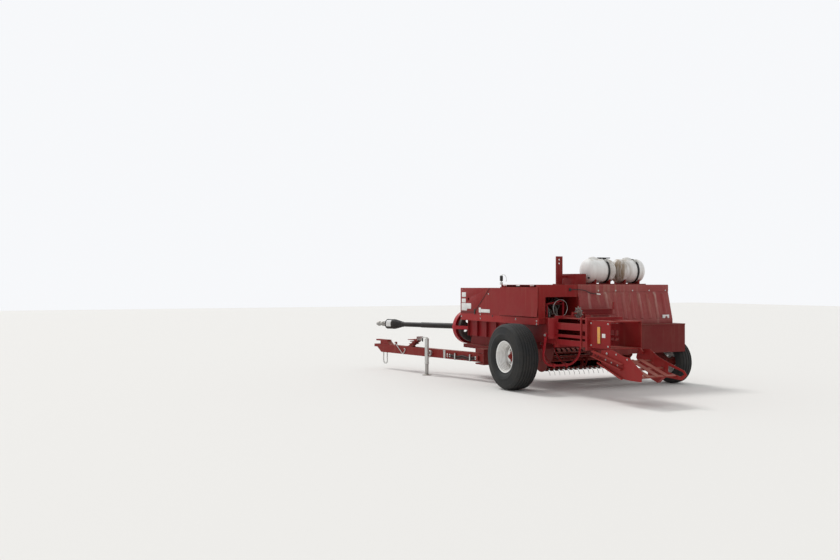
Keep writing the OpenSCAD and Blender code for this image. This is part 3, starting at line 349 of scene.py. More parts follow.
def reflectorMaterial(name, base):
    material, tree, shader, place = startMaterial(name)
    cells = addNode(tree, "ShaderNodeTexVoronoi", {"Vector": place, "Scale": 260.0})
    edges = ramp(tree, cells.outputs["Distance"], 0.1, 0.7, (0.0, 0.45))
    colour = blendColour(tree, edges, base, (0.30, 0.10, 0.01))
    film = ramp(tree, noise(tree, place, 22.0, 5.0), 0.5, 0.8, (0.0, 0.3))
    colour = blendColour(tree, film, colour, dustColour)
    tree.links.new(colour, shader.inputs["Base Color"])
    shader.inputs["Roughness"].default_value = 0.25
    shader.inputs["Coat Weight"].default_value = 0.5
    addBump(tree, shader, cells.outputs["Distance"], 0.2, 0.002)
    return material


sidePaint = paintMaterial("sidePaint", (0.262, 0.007, 0.008), (0.255, 0.022, 0.020), 0.50, 0.05, 0.26)
wallPaint = paintMaterial("wallPaint", (0.265, 0.026, 0.026), (0.330, 0.098, 0.092), 0.75, 0.20, 0.42)
ribbedPaint = paintMaterial("ribbedPaint", (0.265, 0.026, 0.026), (0.330, 0.098, 0.092), 0.75, 0.15, 0.42)
addRibDust(ribbedPaint)
boxPaint = paintMaterial("boxPaint", (0.150, 0.006, 0.007), (0.150, 0.018, 0.016), 0.45, 0.06, 0.30)
framePaint = paintMaterial("framePaint", (0.232, 0.007, 0.008), (0.215, 0.022, 0.020), 0.45, 0.06, 0.38, 0.7)
chutePaint = paintMaterial("chutePaint", (0.268, 0.008, 0.009), (0.255, 0.026, 0.023), 0.45, 0.03, 0.18, 0.6)
brightPaint = paintMaterial("brightPaint", (0.430, 0.008, 0.020), (0.340, 0.030, 0.034),
                            0.40, 0.03, 0.34, 0.6, 0.36)
chamberPaint = paintMaterial("chamberPaint", (0.270, 0.008, 0.012), (0.240, 0.022, 0.024),
                             0.45, 0.04, 0.34, 0.7)
# painted light: the skirt's paint is lighter than the side paint, to offset the shadow the door's overhang
# casts on it
skirtLitPaint = paintMaterial("skirtLitPaint", (0.350, 0.010, 0.012), (0.320, 0.028, 0.026), 0.45, 0.04, 0.30)
# painted shade: darker paint on the frame and feeder floor underneath, standing in for the shade under the
# machine
underShadedPaint = paintMaterial("underShadedPaint", (0.170, 0.006, 0.008), (0.150, 0.018, 0.016),
                           0.45, 0.05, 0.30, 0.7, 0.5)
tankPlastic = tankMaterial("tankPlastic")
silverPaint = metalMaterial("silverPaint", (0.90, 0.90, 0.88), (0.38, 0.29, 0.20), 0.14, 0.40, 0.25, 0.4)
zincSteel = metalMaterial("zincSteel", (0.58, 0.58, 0.56), (0.22, 0.15, 0.09), 0.15, 0.34, 0.9, 0.3)
wornSteel = metalMaterial("wornSteel", (0.42, 0.41, 0.39), (0.13, 0.075, 0.045), 0.6, 0.40, 0.85, 0.5)
starSteel = metalMaterial("starSteel", (0.20, 0.17, 0.16), (0.16, 0.08, 0.05), 0.7, 0.5, 0.6, 0.5)
# dark iron for the flywheel, made darker still as painted shade for the shadow it sits in under the shield
darkIronAndShade = metalMaterial("darkIronAndShade", (0.060, 0.050, 0.046), (0.10, 0.05, 0.035), 0.5, 0.55, 0.4, 0.4)
castIron = metalMaterial("castIron", (0.26, 0.25, 0.235), (0.14, 0.085, 0.05), 0.5, 0.55, 0.6, 0.55)
tyreRubber = rubberMaterial("tyreRubber", (0.017, 0.018, 0.019), (0.13, 0.11, 0.085), 0.18)
hoseRubber = rubberMaterial("hoseRubber", (0.014, 0.014, 0.015), (0.12, 0.10, 0.08), 0.35, 0.5, 90.0)
blackPlastic = rubberMaterial("blackPlastic", (0.012, 0.012, 0.013), (0.13, 0.11, 0.085), 0.28, 0.45, 70.0)
amberLens = reflectorMaterial("amberLens", (0.85, 0.38, 0.03))
whitePlate = plateMaterial("whitePlate", (0.80, 0.80, 0.78))

finishOf = {
    "red_paint": framePaint, "bright_red_paint": brightPaint, "bare_steel": wornSteel,
    "cast_iron": castIron, "zinc_steel": zincSteel, "silver_paint": silverPaint,
    "tyre_rubber": tyreRubber, "hose_rubber": hoseRubber, "tank_plastic": tankPlastic,
    "black_plastic": blackPlastic, "amber_reflector": amberLens, "white_plate": whitePlate,
}
ownFinish = {
    "front_shield": sidePaint, "side_skirt": skirtLitPaint, "twine_door": sidePaint, "twine_box": sidePaint,
    "rear_wall": wallPaint, "feeder_housing": wallPaint, "rear_box": boxPaint, "cross_beam": chamberPaint,
    "end_frame": sidePaint, "chute_left": chutePaint, "chute_right": chutePaint, "knotter_frame": brightPaint,
    "flywheel": darkIronAndShade, "main_frame": underShadedPaint, "feeder_floor": underShadedPaint, "bale_chamber": chamberPaint,
    "tension_rails": chamberPaint,
}


# How pieces are made


def only(piece):
    bpy.ops.object.select_all(action="DESELECT")
    piece.select_set(True)
    bpy.context.view_layer.objects.active = piece


def edit(piece):
    only(piece)
    bpy.ops.object.mode_set(mode="EDIT")
    bpy.ops.mesh.select_all(action="SELECT")


def leave():
    bpy.ops.object.mode_set(mode="OBJECT")


def faceOutward():
    bpy.ops.mesh.select_all(action="SELECT")
    bpy.ops.mesh.normals_make_consistent(inside=False)
    leave()


def addModifier(piece, kind, **settings):
    modifier = piece.modifiers.new(kind.lower(), kind)
    for key, value in settings.items():
        setattr(modifier, key, value)
    only(piece)
    bpy.ops.object.modifier_apply(modifier=modifier.name)


def roundEdges(piece, width, segments=2, angle=38):
    addModifier(piece, "BEVEL", width=width, segments=segments, limit_method="ANGLE",
                angle_limit=math.radians(angle), use_clamp_overlap=True)


def settle(piece):
    only(piece)
    bpy.ops.object.transform_apply(location=True, rotation=True, scale=True)
    return piece


def fuse(pieces):
    only(pieces[0])
    for piece in pieces:
        piece.select_set(True)
    bpy.ops.object.join()
    return bpy.context.object


def carve(piece, cutters):  # cuts the shapes out of the piece
    cutter = fuse(cutters)
    addModifier(piece, "BOOLEAN", object=cutter, operation="DIFFERENCE", solver="EXACT")
    bpy.data.objects.remove(cutter)


def copied(pattern, matrices):  # a copy of the pattern in each place, in the pattern's stead
    copies = []
    for matrix in matrices:
        piece = pattern.copy()
        piece.data = pattern.data.copy()
        bpy.context.scene.collection.objects.link(piece)
        piece.matrix_world = matrix
        copies.append(piece)
    bpy.data.objects.remove(pattern)
    return copies


def finishPiece(piece, name, body, slotName, material=None, smooth=32):  # a piece, or a list to be fused
    piece = settle(fuse(piece) if isinstance(piece, list) else piece)
    piece.name = piece.data.name = name
    piece.data.materials.clear()
    piece.data.materials.append(material or finishOf[slotName])
    bpy.ops.object.shade_smooth_by_angle(angle=math.radians(smooth))
    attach(piece, body)
    return piece


def box(low, high, rounding=0.003, segments=2):
    low, high = Vector(low), Vector(high)
    bpy.ops.object.select_all(action="DESELECT")
    bpy.ops.mesh.primitive_cube_add(size=1, location=(low + high) / 2, scale=high - low)
    piece = settle(bpy.context.object)
    if rounding:
        roundEdges(piece, rounding, segments)
    return piece


def rod(a, b, radius, sides=24, rounding=0.0015):
    a, b = Vector(a), Vector(b)
    bpy.ops.object.select_all(action="DESELECT")
    turn = (b - a).to_track_quat("Z", "Y").to_euler()
    bpy.ops.mesh.primitive_cylinder_add(vertices=sides, radius=radius, depth=(b - a).length,
                                        location=(a + b) / 2, rotation=turn)
    piece = settle(bpy.context.object)
    if rounding:
        roundEdges(piece, rounding, 2, 50)
    return piece


def drawLine(points, closed=False):
    points = [Vector(p) for p in points]
    bpy.ops.object.select_all(action="DESELECT")
    bpy.ops.mesh.primitive_plane_add(size=0.01, location=(0, 0, 0))
    piece = bpy.context.object
    edit(piece)
    bpy.ops.mesh.merge(type="CENTER")
    bpy.ops.transform.translate(value=points[0])
    for a, b in zip(points, points[1:]):
        bpy.ops.mesh.extrude_vertices_move(TRANSFORM_OT_translate={"value": b - a})
    if closed:
        bpy.ops.mesh.select_all(action="SELECT")
        bpy.ops.mesh.edge_face_add()
    leave()
    return piece


def spots(places):
    return [spot(*place) for place in places]


def upright(places, y):  # (x, z) places in one upright plane
    return [spot(x, y, z) for x, z in places]


def wayAround(turn):
    return Vector((math.cos(turn), 0, math.sin(turn)))


def ringPlaces(place, radius, count, along=0.0, shift=0.0):  # places on a circle round a crosswise axle
    middle = place + Vector((0, along, 0))
    return [middle + wayAround(math.tau * (i + shift) / count) * radius for i in range(count)]


def crossRod(place, reach, radius, sides=20):  # stands for a round hole across the machine
    return rod(place - Vector((0, reach, 0)), place + Vector((0, reach, 0)), radius, sides, 0)


def mirrored(profile):
    return profile + [(r, -along) for r, along in reversed(profile)]


def spun(profile, place, axis=(0, 1, 0), steps=96, loop=False):  # profile of (radius, way along the axis)
    axis = Vector(axis).normalized()
    side = axis.orthogonal().normalized()
    if loop:
        profile = list(profile) + [profile[0]]
    piece = drawLine([side * r + axis * along for r, along in profile])
    edit(piece)
    bpy.ops.mesh.spin(steps=steps, angle=math.tau, center=(0, 0, 0), axis=axis)
    bpy.ops.mesh.select_all(action="SELECT")
    bpy.ops.mesh.remove_doubles(threshold=0.00005)
    faceOutward()
    piece.location = place
    return settle(piece)


def plate(outline, thickness, rounding):  # a flat outline, pushed out by a vector
    piece = drawLine(outline, closed=True)
    edit(piece)
    bpy.ops.mesh.extrude_region_move(TRANSFORM_OT_translate={"value": Vector(thickness)})
    faceOutward()
    if rounding:
        roundEdges(piece, rounding)
    return piece


def tube(points, radius, sides, smoothness, ends=True):
    curve = bpy.data.curves.new("tube", "CURVE")
    curve.dimensions = "3D"
    curve.bevel_depth = radius
    curve.bevel_resolution = max(1, sides // 4 - 1)
    curve.use_fill_caps = ends
    curve.resolution_u = smoothness
    line = curve.splines.new("NURBS")
    line.points.add(len(points) - 1)
    for point, place in zip(line.points, points):
        point.co = (*place, 1)
    line.order_u = 3 if smoothness > 1 else 2
    line.use_endpoint_u = True
    piece = bpy.data.objects.new("tube", curve)
    bpy.context.scene.collection.objects.link(piece)
    only(piece)
    bpy.ops.object.convert(target="MESH")
    return bpy.context.object


def boltHead(size):
    washer = rod((0, 0, 0), (0, 0, size * 0.14), size * 0.92, 20, size * 0.04)
    head = rod((0, 0, size * 0.12), (0, 0, size * 0.62), size * 0.58, 6, size * 0.07)
    shank = rod((0, 0, size * 0.6), (0, 0, size * 0.85), size * 0.28, 12, size * 0.04)
    return fuse([washer, head, shank])


def bolts(places, facing, size):  # hexagon heads on washers, all facing one way
    turn = Vector(facing).to_track_quat("Z", "Y").to_matrix().to_4x4()
    matrices = [Matrix.Translation(Vector(place)) @ turn @ Matrix.Rotation(number * 0.7, 4, "Z")
                for number, place in enumerate(places)]
    return settle(fuse(copied(boltHead(size), matrices)))


edgeWidth = 0.0025  # of the edges rounded on the CAD pieces


def softened(name):  # the CAD piece with rounded edges
    piece = bpy.data.objects.new(name + "Shell", nodes[name].data.copy())
    bpy.context.scene.collection.objects.link(piece)
    edit(piece)
    bpy.ops.mesh.remove_doubles(threshold=0.00002)
    bpy.ops.mesh.dissolve_limited(angle_limit=math.radians(0.5), use_dissolve_boundaries=False)
    leave()
    roundEdges(piece, edgeWidth)
    piece = finishPiece(piece, name + "Shell", bodyOf[name], slotOf[name], ownFinish.get(name))
    addModifier(piece, "WEIGHTED_NORMAL", keep_sharp=True)
    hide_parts(name)
    return piece


print("tools are ready")

# Wheels

leftWheel = {
    "name": "left", "x": 0.0, "y": leftTyreY, "radius": 0.485, "width": 0.36, "bead": 0.222, "out": 1,
    "grooves": 6, "dish": 0.0, "hub": 0.064, "hubOut": 0.060, "bolts": 6, "boltCircle": 0.104,
    "hubBack": 0.195, "ridges": 5,
}
rightWheel = {
    "name": "right", "x": -0.30, "y": -2.13, "radius": 0.34, "width": 0.24, "bead": 0.190, "out": -1,
    "grooves": 4, "dish": 0.020, "hub": 0.056, "hubOut": 0.050, "bolts": 5, "boltCircle": 0.090,
    "hubBack": 0.105, "ridges": 4,
}


def tyreProfile(w):
    r, half, bead = w["radius"], w["width"] / 2, w["bead"]
    wall = [(bead, 0.70), (bead + 0.012, 0.735), (bead + 0.022, 0.745), (bead + 0.03, 0.80),
            (r * 0.56, 0.935), (r * 0.62, 0.985), (r * 0.655, 0.992), (r * 0.66, 1.0), (r * 0.675, 1.0),
            (r * 0.68, 0.99), (r * 0.76, 0.975), (r * 0.84, 0.935), (r * 0.885, 0.90), (r * 0.89, 0.905),
            (r * 0.905, 0.89), (r * 0.91, 0.875), (r * 0.94, 0.82), (r * 0.958, 0.775)]
    side = [(radius, share * half) for radius, share in wall]
    tread = []
    count, deep, gap = w["grooves"], 0.014, w["width"] * 0.027
    for i in range(count):
        middle = (-0.62 + 1.24 * i / (count - 1)) * half
        drop = (abs(middle) / half) ** 2 * r * 0.05
        top = r - drop
        tread += [(top - 0.0015, middle - gap * 1.35), (top - 0.004, middle - gap * 1.0),
                  (top - deep, middle - gap * 0.55), (top - deep, middle + gap * 0.55),
                  (top - 0.004, middle + gap * 1.0), (top - 0.0015, middle + gap * 1.35)]
        if i < count - 1:
            rib = middle + 0.62 * half / (count - 1)
            tread.append((r - (abs(rib) / half) ** 2 * r * 0.05, rib))
    return [(radius, -y) for radius, y in side] + tread + side[::-1]


def makeTyre(w):
    tyre = spun(tyreProfile(w), spot(w["x"], w["y"], w["radius"]), steps=144)
    tyre = finishPiece(tyre, w["name"] + "Tyre", w["name"] + "_wheel", "tyre_rubber", smooth=40)
    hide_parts(w["name"] + "_tyre")


def makeRim(w):
    place = spot(w["x"], w["y"], w["radius"])
    b, half, out = w["bead"], w["width"] / 2 * 0.72, w["out"]
    barrel = [(b + 0.013, -half - 0.006), (b + 0.010, -half - 0.012), (b - 0.004, -half - 0.009),
              (b - 0.012, -half + 0.004), (b - 0.014, -half + 0.022), (b - 0.026, -half + 0.034),
              (b - 0.046, -half * 0.35)]
    pitch = (half * 0.85 - 0.012) / w["ridges"]
    climb = 0.033 / w["ridges"]
    for i in range(w["ridges"]):  # ridges from the disc out to the flange
        y, r = half * 0.15 + pitch * i, b - 0.046 + climb * i
        barrel += [(r, y + pitch * 0.10), (r - 0.0016, y + pitch * 0.50), (r + climb * 0.9, y + pitch * 0.80)]
    barrel += [(b - 0.012, half - 0.004), (b - 0.004, half + 0.009),
               (b + 0.010, half + 0.012), (b + 0.013, half + 0.006), (b + 0.011, half + 0.001),
               (b - 0.0015, half - 0.004), (b - 0.006, half - 0.026), (b - 0.018, half * 0.50),
               (b - 0.036, half * 0.10), (b - 0.036, -half * 0.35), (b - 0.018, -half + 0.038),
               (b - 0.006, -half + 0.026), (b - 0.0015, -half + 0.004), (b + 0.011, -half - 0.001)]
    barrelPiece = spun(barrel, place, steps=96, loop=True)
    d = w["dish"]
    disc = [(0.030, d - 0.006), (b * 0.42, d - 0.004), (b * 0.50, d + 0.004), (b * 0.60, d + 0.006),
            (b * 0.70, d - 0.010), (b - 0.044, d - 0.030), (b - 0.036, d - 0.050), (b - 0.043, d - 0.052),
            (b - 0.052, d - 0.036), (b * 0.68, d - 0.018), (b * 0.60, d - 0.002), (b * 0.50, d - 0.004),
            (b * 0.42, d - 0.012), (0.030, d - 0.014)]
    discPiece = spun([(r, y * out) for r, y in disc], place, steps=96, loop=True)
    handHoles = ringPlaces(place, b * 0.74, w["bolts"], shift=0.5)  # between the bolts
    carve(discPiece, [crossRod(hole, 0.2, 0.017) for hole in handHoles])
    roundEdges(discPiece, 0.0012, 1, 50)
    rim = [barrelPiece, discPiece]
    rim = finishPiece(rim, w["name"] + "Rim", w["name"] + "_wheel", "silver_paint", smooth=40)
    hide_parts(w["name"] + "_rim")
    h, reach = w["hub"], d + w["hubOut"]
    hub = [(0.0, reach), (h * 0.42, reach - 0.002), (h * 0.50, reach - 0.008), (h * 0.52, reach - 0.026),
           (h * 0.72, reach - 0.030), (h * 0.78, reach - 0.036), (h * 0.80, d + 0.010), (h, d + 0.004),
           (h * 1.24, d + 0.003), (h * 1.28, d - 0.001), (h * 1.28, d - 0.016), (h, d - 0.02),
           (h * 0.92, -w["hubBack"]), (h * 0.86, -w["hubBack"] - 0.004), (0.0362, -w["hubBack"] - 0.004),
           (0.0362, d - 0.03), (0.0, d - 0.03)]
    hub = spun([(r, y * out) for r, y in hub], place, steps=64)
    finishPiece(hub, w["name"] + "Hub", w["name"] + "_wheel", "red_paint")
    nuts = bolts(ringPlaces(place, w["boltCircle"], w["bolts"], (d + 0.003) * out), (0, out, 0), 0.021)
    capBolts = bolts(ringPlaces(place, h * 0.64, 4, (reach - 0.031) * out), (0, out, 0), 0.008)
    valve = place + Vector((0.0, out * (half - 0.03), -b * 0.80))
    stem = rod(valve, valve + Vector((0, out * 0.035, -0.004)), 0.0045, 10)
    finishPiece([nuts, capBolts, stem], w["name"] + "Nuts", w["name"] + "_wheel", "zinc_steel")


for wheel in (leftWheel, rightWheel):
    makeTyre(wheel)
    makeRim(wheel)
print("wheels are made")


# Tanks on top

tanks = {
    "x": 0.20, "z": 1.750, "radius": 0.187, "length": 0.55, "dome": 0.100, "middles": (-1.067, -1.639),
    "names": ("Inner", "Outer"), "lids": (-0.972, -1.634), "straps": (-1.149, -1.721), "strapWidth": 0.040,
    "buckleTurn": 128, "neck": 0.068, "lid": 0.0605, "grips": 20, "bar": (-1.290, -1.070),
    "barFeet": (-1.105, -1.205),
    "grooves": (-0.164, -0.150, 0.150, 0.164),
}


def makeTank(middle):
    r, half, dome = tanks["radius"], tanks["length"] / 2, tanks["dome"]
    shoulder = []
    for i in range(1, 16):
        a = math.pi / 2 * i / 15
        inset = 0.0025 if i == 9 else 0.0  # shallow ring where the flat end meets the shoulder
        shoulder.append((r * math.sin(a) ** 0.86 - inset, half - dome * (1 - math.cos(a))))
    profile = [(0.0, -half)] + [(radius, -along) for radius, along in shoulder]
    for y in tanks["grooves"]:
        profile += [(r, y - 0.006), (r - 0.003, y - 0.002), (r - 0.003, y + 0.002), (r, y + 0.006)]
    profile += list(reversed(shoulder)) + [(0.0, half)]
    place = spot(tanks["x"], middle, tanks["z"])
    barrel = spun(profile, place, steps=96)
    seam = spun([(r + 0.0025, -0.004), (r + 0.0035, 0.0), (r + 0.0025, 0.004), (r - 0.003, 0.004),
                 (r - 0.003, -0.004)], place, steps=96, loop=True)
    return fuse([barrel, seam])


def makeLid(middle):
    place = spot(tanks["x"], middle, tanks["z"] + tanks["radius"])
    r, edge = tanks["neck"], tanks["lid"]
    neck = [(0.0, -0.012), (r, -0.012), (r, 0.004), (r - 0.004, 0.007), (0.0, 0.007)]
    lid = [(0.0, 0.022), (0.046, 0.022), (0.050, 0.019), (0.056, 0.018), (edge, 0.015), (edge + 0.001, 0.008),
           (0.0, 0.008)]
    parts = [spun(profile, place, axis=(0, 0, 1), steps=48) for profile in (neck, lid)]
    for i in range(tanks["grips"]):
        a = math.tau * i / tanks["grips"]
        foot = place + Vector((math.cos(a) * edge, math.sin(a) * edge, 0.008))
        parts.append(rod(foot, foot + Vector((0, 0, 0.009)), 0.0035, 8, 0))
    parts.append(box(place + Vector((-0.040, -0.006, 0.021)), place + Vector((0.040, 0.006, 0.031)), 0.003))
    return fuse(parts)


def makeStrap(middle):
    r, w = tanks["radius"], tanks["strapWidth"] / 2
    profile = mirrored([(r + 0.0035, -w), (r + 0.0045, -w), (r + 0.0060, -w + 0.002)])
    return spun(profile, spot(tanks["x"], middle, tanks["z"]), steps=96, loop=True)


def makeBuckle(middle):  # a ratchet on top of the strap, at the tank's rear
    place = spot(tanks["x"], middle, tanks["z"])
    turn = math.radians(tanks["buckleTurn"])
    out, side = wayAround(turn), wayAround(turn + math.pi / 2)
    at = place + out * (tanks["radius"] + 0.007)
    parts = []
    for shift in (-0.024, 0.024):
        c = at + Vector((0, shift, 0))
        cheek = ((-0.035, 0.0), (0.035, 0.0), (0.030, 0.016), (0.0, 0.022), (-0.030, 0.016))
        parts.append(plate([c + side * along + out * lift for along, lift in cheek], (0, 0.003, 0), 0.0006))
    for along, lift in ((-0.026, 0.008), (0.0, 0.012), (0.026, 0.008)):
        c = at + side * along + out * lift
        parts.append(rod(c - Vector((0, 0.028, 0)), c + Vector((0, 0.030, 0)), 0.005, 12))
    c = at + out * 0.020
    handle = ((0.0, -0.019), (0.0, 0.022), (0.075, 0.016), (0.075, -0.013))
    handle = [c + side * along + Vector((0, across, 0)) for along, across in handle]
    parts.append(plate(handle, out * 0.003, 0.0008))
    return fuse(parts)


def makeTankTrim():  # the dark bar on the inner tank and the plug low on its left dome
    x, top = tanks["x"], tanks["z"] + tanks["radius"]
    far, near = tanks["bar"]
    bar = box(spot(x - 0.030, far, top + 0.008), spot(x + 0.030, near, top + 0.022), 0.005)
    feet = [box(spot(x - 0.022, y - 0.012, top - 0.004), spot(x + 0.022, y + 0.012, top + 0.010), 0.002)
            for y in tanks["barFeet"]]
    low = spot(x - 0.105, tanks["middles"][0] + 0.245, tanks["z"] - 0.112)
    nut = rod(low, low + Vector((-0.004, 0.014, 0)), 0.017, 6)
    stub = rod(low, low + Vector((-0.008, 0.024, 0)), 0.011, 20)
    return [bar, *feet, nut, stub]


for middle, name in zip(tanks["middles"], tanks["names"]):
    tank = finishPiece(makeTank(middle), "tank" + name, "frame", "tank_plastic", smooth=40)
    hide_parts("tank_" + name.lower())
finishPiece([makeLid(y) for y in tanks["lids"]], "tankLids", "frame", "tank_plastic", smooth=40)
straps = [makeStrap(y) for y in tanks["straps"]] + makeTankTrim()
straps = finishPiece(straps, "tankStraps", "frame", "black_plastic", smooth=40)
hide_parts("tank_straps")
finishPiece([makeBuckle(y) for y in tanks["straps"]], "strapBuckles", "frame", "zinc_steel")
print("tanks are made")

# Painted steel with rounded edges

for name in ("front_shield", "side_skirt", "twine_box", "twine_door", "feeder_housing", "rear_box",
             "feeder_drive", "cross_beam", "main_frame", "bale_chamber", "tension_rails", "end_frame",
             "gearbox", "feeder_floor", "tank_cradle", "tongue_beam", "shaft_support", "chute_floor",
             "pickup_frame", "plunger", "flywheel", "pickup_strippers", "wind_guard", "feeder_tines",
             "chute_left", "chute_right", "flywheel_guard"):
    softened(name)


knotterSplit = {"ringBehind": -0.215, "platesAhead": -0.15}  # by the middle of a loose piece along X


def splitKnotterFrame():  # plates in the frame's paint, raised arm in bright red, thin ring in bare steel
    shell = softened("knotter_frame")
    edit(shell)
    bpy.ops.mesh.separate(type="LOOSE")
    leave()
    rings = []
    plates = []
    for piece in [item for item in bpy.context.scene.objects if item.name.startswith("knotter_frameShell")]:
        across = [vertex.co.x for vertex in piece.data.vertices]
        middle = sum(across) / len(across) - originX
        if middle < knotterSplit["ringBehind"]:
            rings.append(piece)
        elif middle > knotterSplit["platesAhead"]:
            plates.append(piece)
    finishPiece(rings, "twineRing", "frame", "bare_steel", zincSteel)
    finishPiece(plates, "knotterPlates", "frame", "red_paint")


splitKnotterFrame()
print("steel edges are rounded")


# Driveline

driveline = {
    "start": (2.450, 0.065, 0.812), "turn": 28.21, "length": 1.8727, "bell": 0.100, "tube": 0.048,
    "innerTube": 0.042, "drum": 0.088, "shaft": 0.0215, "bore": 0.0178, "splines": 6,
    "ear": ((0.018, 0.012), (0.034, 0.030), (0.072, 0.030), (0.084, 0.020), (0.084, 0.041), (0.060, 0.0425),
            (0.034, 0.041), (0.010, 0.028)),
}
lineTurn = math.radians(driveline["turn"])
lineWay = Vector((math.cos(lineTurn), math.sin(lineTurn), 0))
lineSide = Vector((-math.sin(lineTurn), math.cos(lineTurn), 0))
lineStart = spot(*driveline["start"])


def onLine(along, side=0.0, up=0.0):
    return lineStart + lineWay * along + lineSide * side + Vector((0, 0, up))


def makeGuard():
    d = driveline
    bellEnd = d["length"] - 0.540
    outer = [(0.060, 0.052), (0.088, 0.040), (0.097, 0.041), (d["bell"], 0.046)]
    folds = 5
    for i in range(folds):  # the soft bell narrows in folds
        r = d["bell"] - 0.007 - i * 0.009
        at = 0.052 + i * 0.017
        outer += [(r + 0.002, at), (r - 0.004, at + 0.005), (r - 0.003, at + 0.011), (r, at + 0.015)]
    outer += [(0.056, 0.142), (0.056, 0.165), (d["tube"], 0.168), (d["tube"], 0.905), (0.0465, 0.909),
              (d["innerTube"], 0.910), (d["innerTube"], bellEnd - 0.03), (0.0475, bellEnd - 0.026),
              (0.0475, bellEnd + 0.004)]
    folds = 6
    for i in range(folds):
        r = 0.052 + i * 0.006
        at = bellEnd + 0.012 + i * 0.026
        outer += [(r - 0.002, at), (r + 0.004, at + 0.006), (r + 0.005, at + 0.016), (r + 0.001, at + 0.022)]
    drum = d["drum"]
    outer += [(drum - 0.001, bellEnd + 0.170), (drum, bellEnd + 0.174), (drum, bellEnd + 0.335),
              (drum - 0.002, bellEnd + 0.339), (drum - 0.005, bellEnd + 0.339)]
    inner = [(drum - 0.006, bellEnd + 0.176), (0.046, bellEnd + 0.020), (0.030, bellEnd + 0.002),
             (0.0235, bellEnd), (0.0235, bellEnd - 0.03), (0.036, bellEnd - 0.035), (0.036, 0.180),
             (0.0235, 0.174), (0.0235, 0.152), (0.040, 0.135), (0.052, 0.080)]
    shell = spun(outer + inner, lineStart, lineWay, steps=80, loop=True)
    rings = []
    for at in (0.120, bellEnd + 0.186, bellEnd + 0.322):
        r = drum + 0.001 if at > 1 else 0.068
        ring = [(r, at - 0.004), (r + 0.0015, at - 0.002), (r + 0.0015, at + 0.002), (r, at + 0.004),
                (r - 0.004, at)]
        rings.append(spun(ring, lineStart, lineWay, steps=80, loop=True))
    guard = finishPiece([shell] + rings, "drivelineGuard", "driveline", "black_plastic", smooth=40)
    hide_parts("driveline_guard")


def makeForks(at, toward):  # one yoke of a joint, with its two ears towards the cross
    body = [(0.0, 0.0), (0.026, 0.0), (0.030, 0.004), (0.030, 0.030), (0.024, 0.036), (0.0, 0.036)]
    parts = [spun(body, onLine(at), lineWay * toward, steps=32)]
    across, broad = lineSide, Vector((0, 0, 1))
    if toward < 0:
        across, broad = broad, across
    for side in (-1, 1):
        ear = [onLine(at + along * toward) + across * out * side for along, out in driveline["ear"]]
        parts.append(plate([place - broad * 0.018 for place in ear], broad * 0.036, 0.004))
    return fuse(parts)


def makeJoint(middle):
    parts = [makeForks(middle - 0.075, 1), makeForks(middle + 0.075, -1)]
    parts.append(rod(onLine(middle, -0.041), onLine(middle, 0.041), 0.011, 20))
    parts.append(rod(onLine(middle, 0, -0.041), onLine(middle, 0, 0.041), 0.011, 20))
    return parts


def makeShaft():
    d = driveline
    end = d["length"]
    ball = [(0.0448 * math.sin(math.pi * i / 24), -0.0448 * math.cos(math.pi * i / 24)) for i in range(20)]
    ball += [(0.0275, 0.045), (0.0275, 0.060), (0.0225, 0.064), (0.0, 0.064)]
    parts = [spun(ball, lineStart, lineWay, 64)]
    parts.append(rod(onLine(0.02), onLine(end - 0.20), d["shaft"], 32))
    parts += makeJoint(end - 0.140)
    sleeve = [(d["bore"], end - 0.060), (0.030, end - 0.064), (0.030, end - 0.034), (0.0315, end - 0.030),
              (0.0415, end - 0.026), (0.0430, end - 0.020), (0.0430, end - 0.002), (0.0415, end + 0.004),
              (0.0305, end + 0.006), (0.0305, end + 0.034), (0.028, end + 0.0385), (d["bore"], end + 0.0385)]
    parts.append(spun(sleeve, lineStart, lineWay, steps=64, loop=True))
    for i in range(d["splines"]):
        a = math.tau * i / d["splines"]
        out = lineSide * math.cos(a) + Vector((0, 0, 1)) * math.sin(a)
        out = out * (d["bore"] + 0.0005)
        parts.append(rod(onLine(end - 0.055) + out, onLine(end + 0.036) + out, 0.0022, 8, 0))
    parts.append(rod(onLine(end - 0.012, -0.052, 0.0), onLine(end - 0.012, -0.038, 0.0), 0.007, 16))
    shaft = finishPiece(parts, "driveShaft", "pto_shaft", "bare_steel", smooth=40)
    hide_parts("pto_shaft")


drumPlate = {"low": 1.540, "high": 1.645, "angleLow": -28, "angleHigh": 52, "thickness": 0.0009, "steps": 10}


def makeDrumPlate():
    p = drumPlate
    steps = p["steps"]
    outline = []
    for lift, order in ((p["thickness"], range(steps + 1)), (0.0002, range(steps, -1, -1))):
        r = driveline["drum"] + lift
        for i in order:
            a = math.radians(p["angleLow"] + (p["angleHigh"] - p["angleLow"]) * i / steps)
            outline.append(onLine(p["low"], math.cos(a) * r, math.sin(a) * r))
    sign = plate(outline, lineWay * (p["high"] - p["low"]), 0)
    finishPiece(sign, "drumPlate", "driveline", "white_plate")


makeGuard()
makeShaft()
makeDrumPlate()
print("driveline is made")

# Knotters

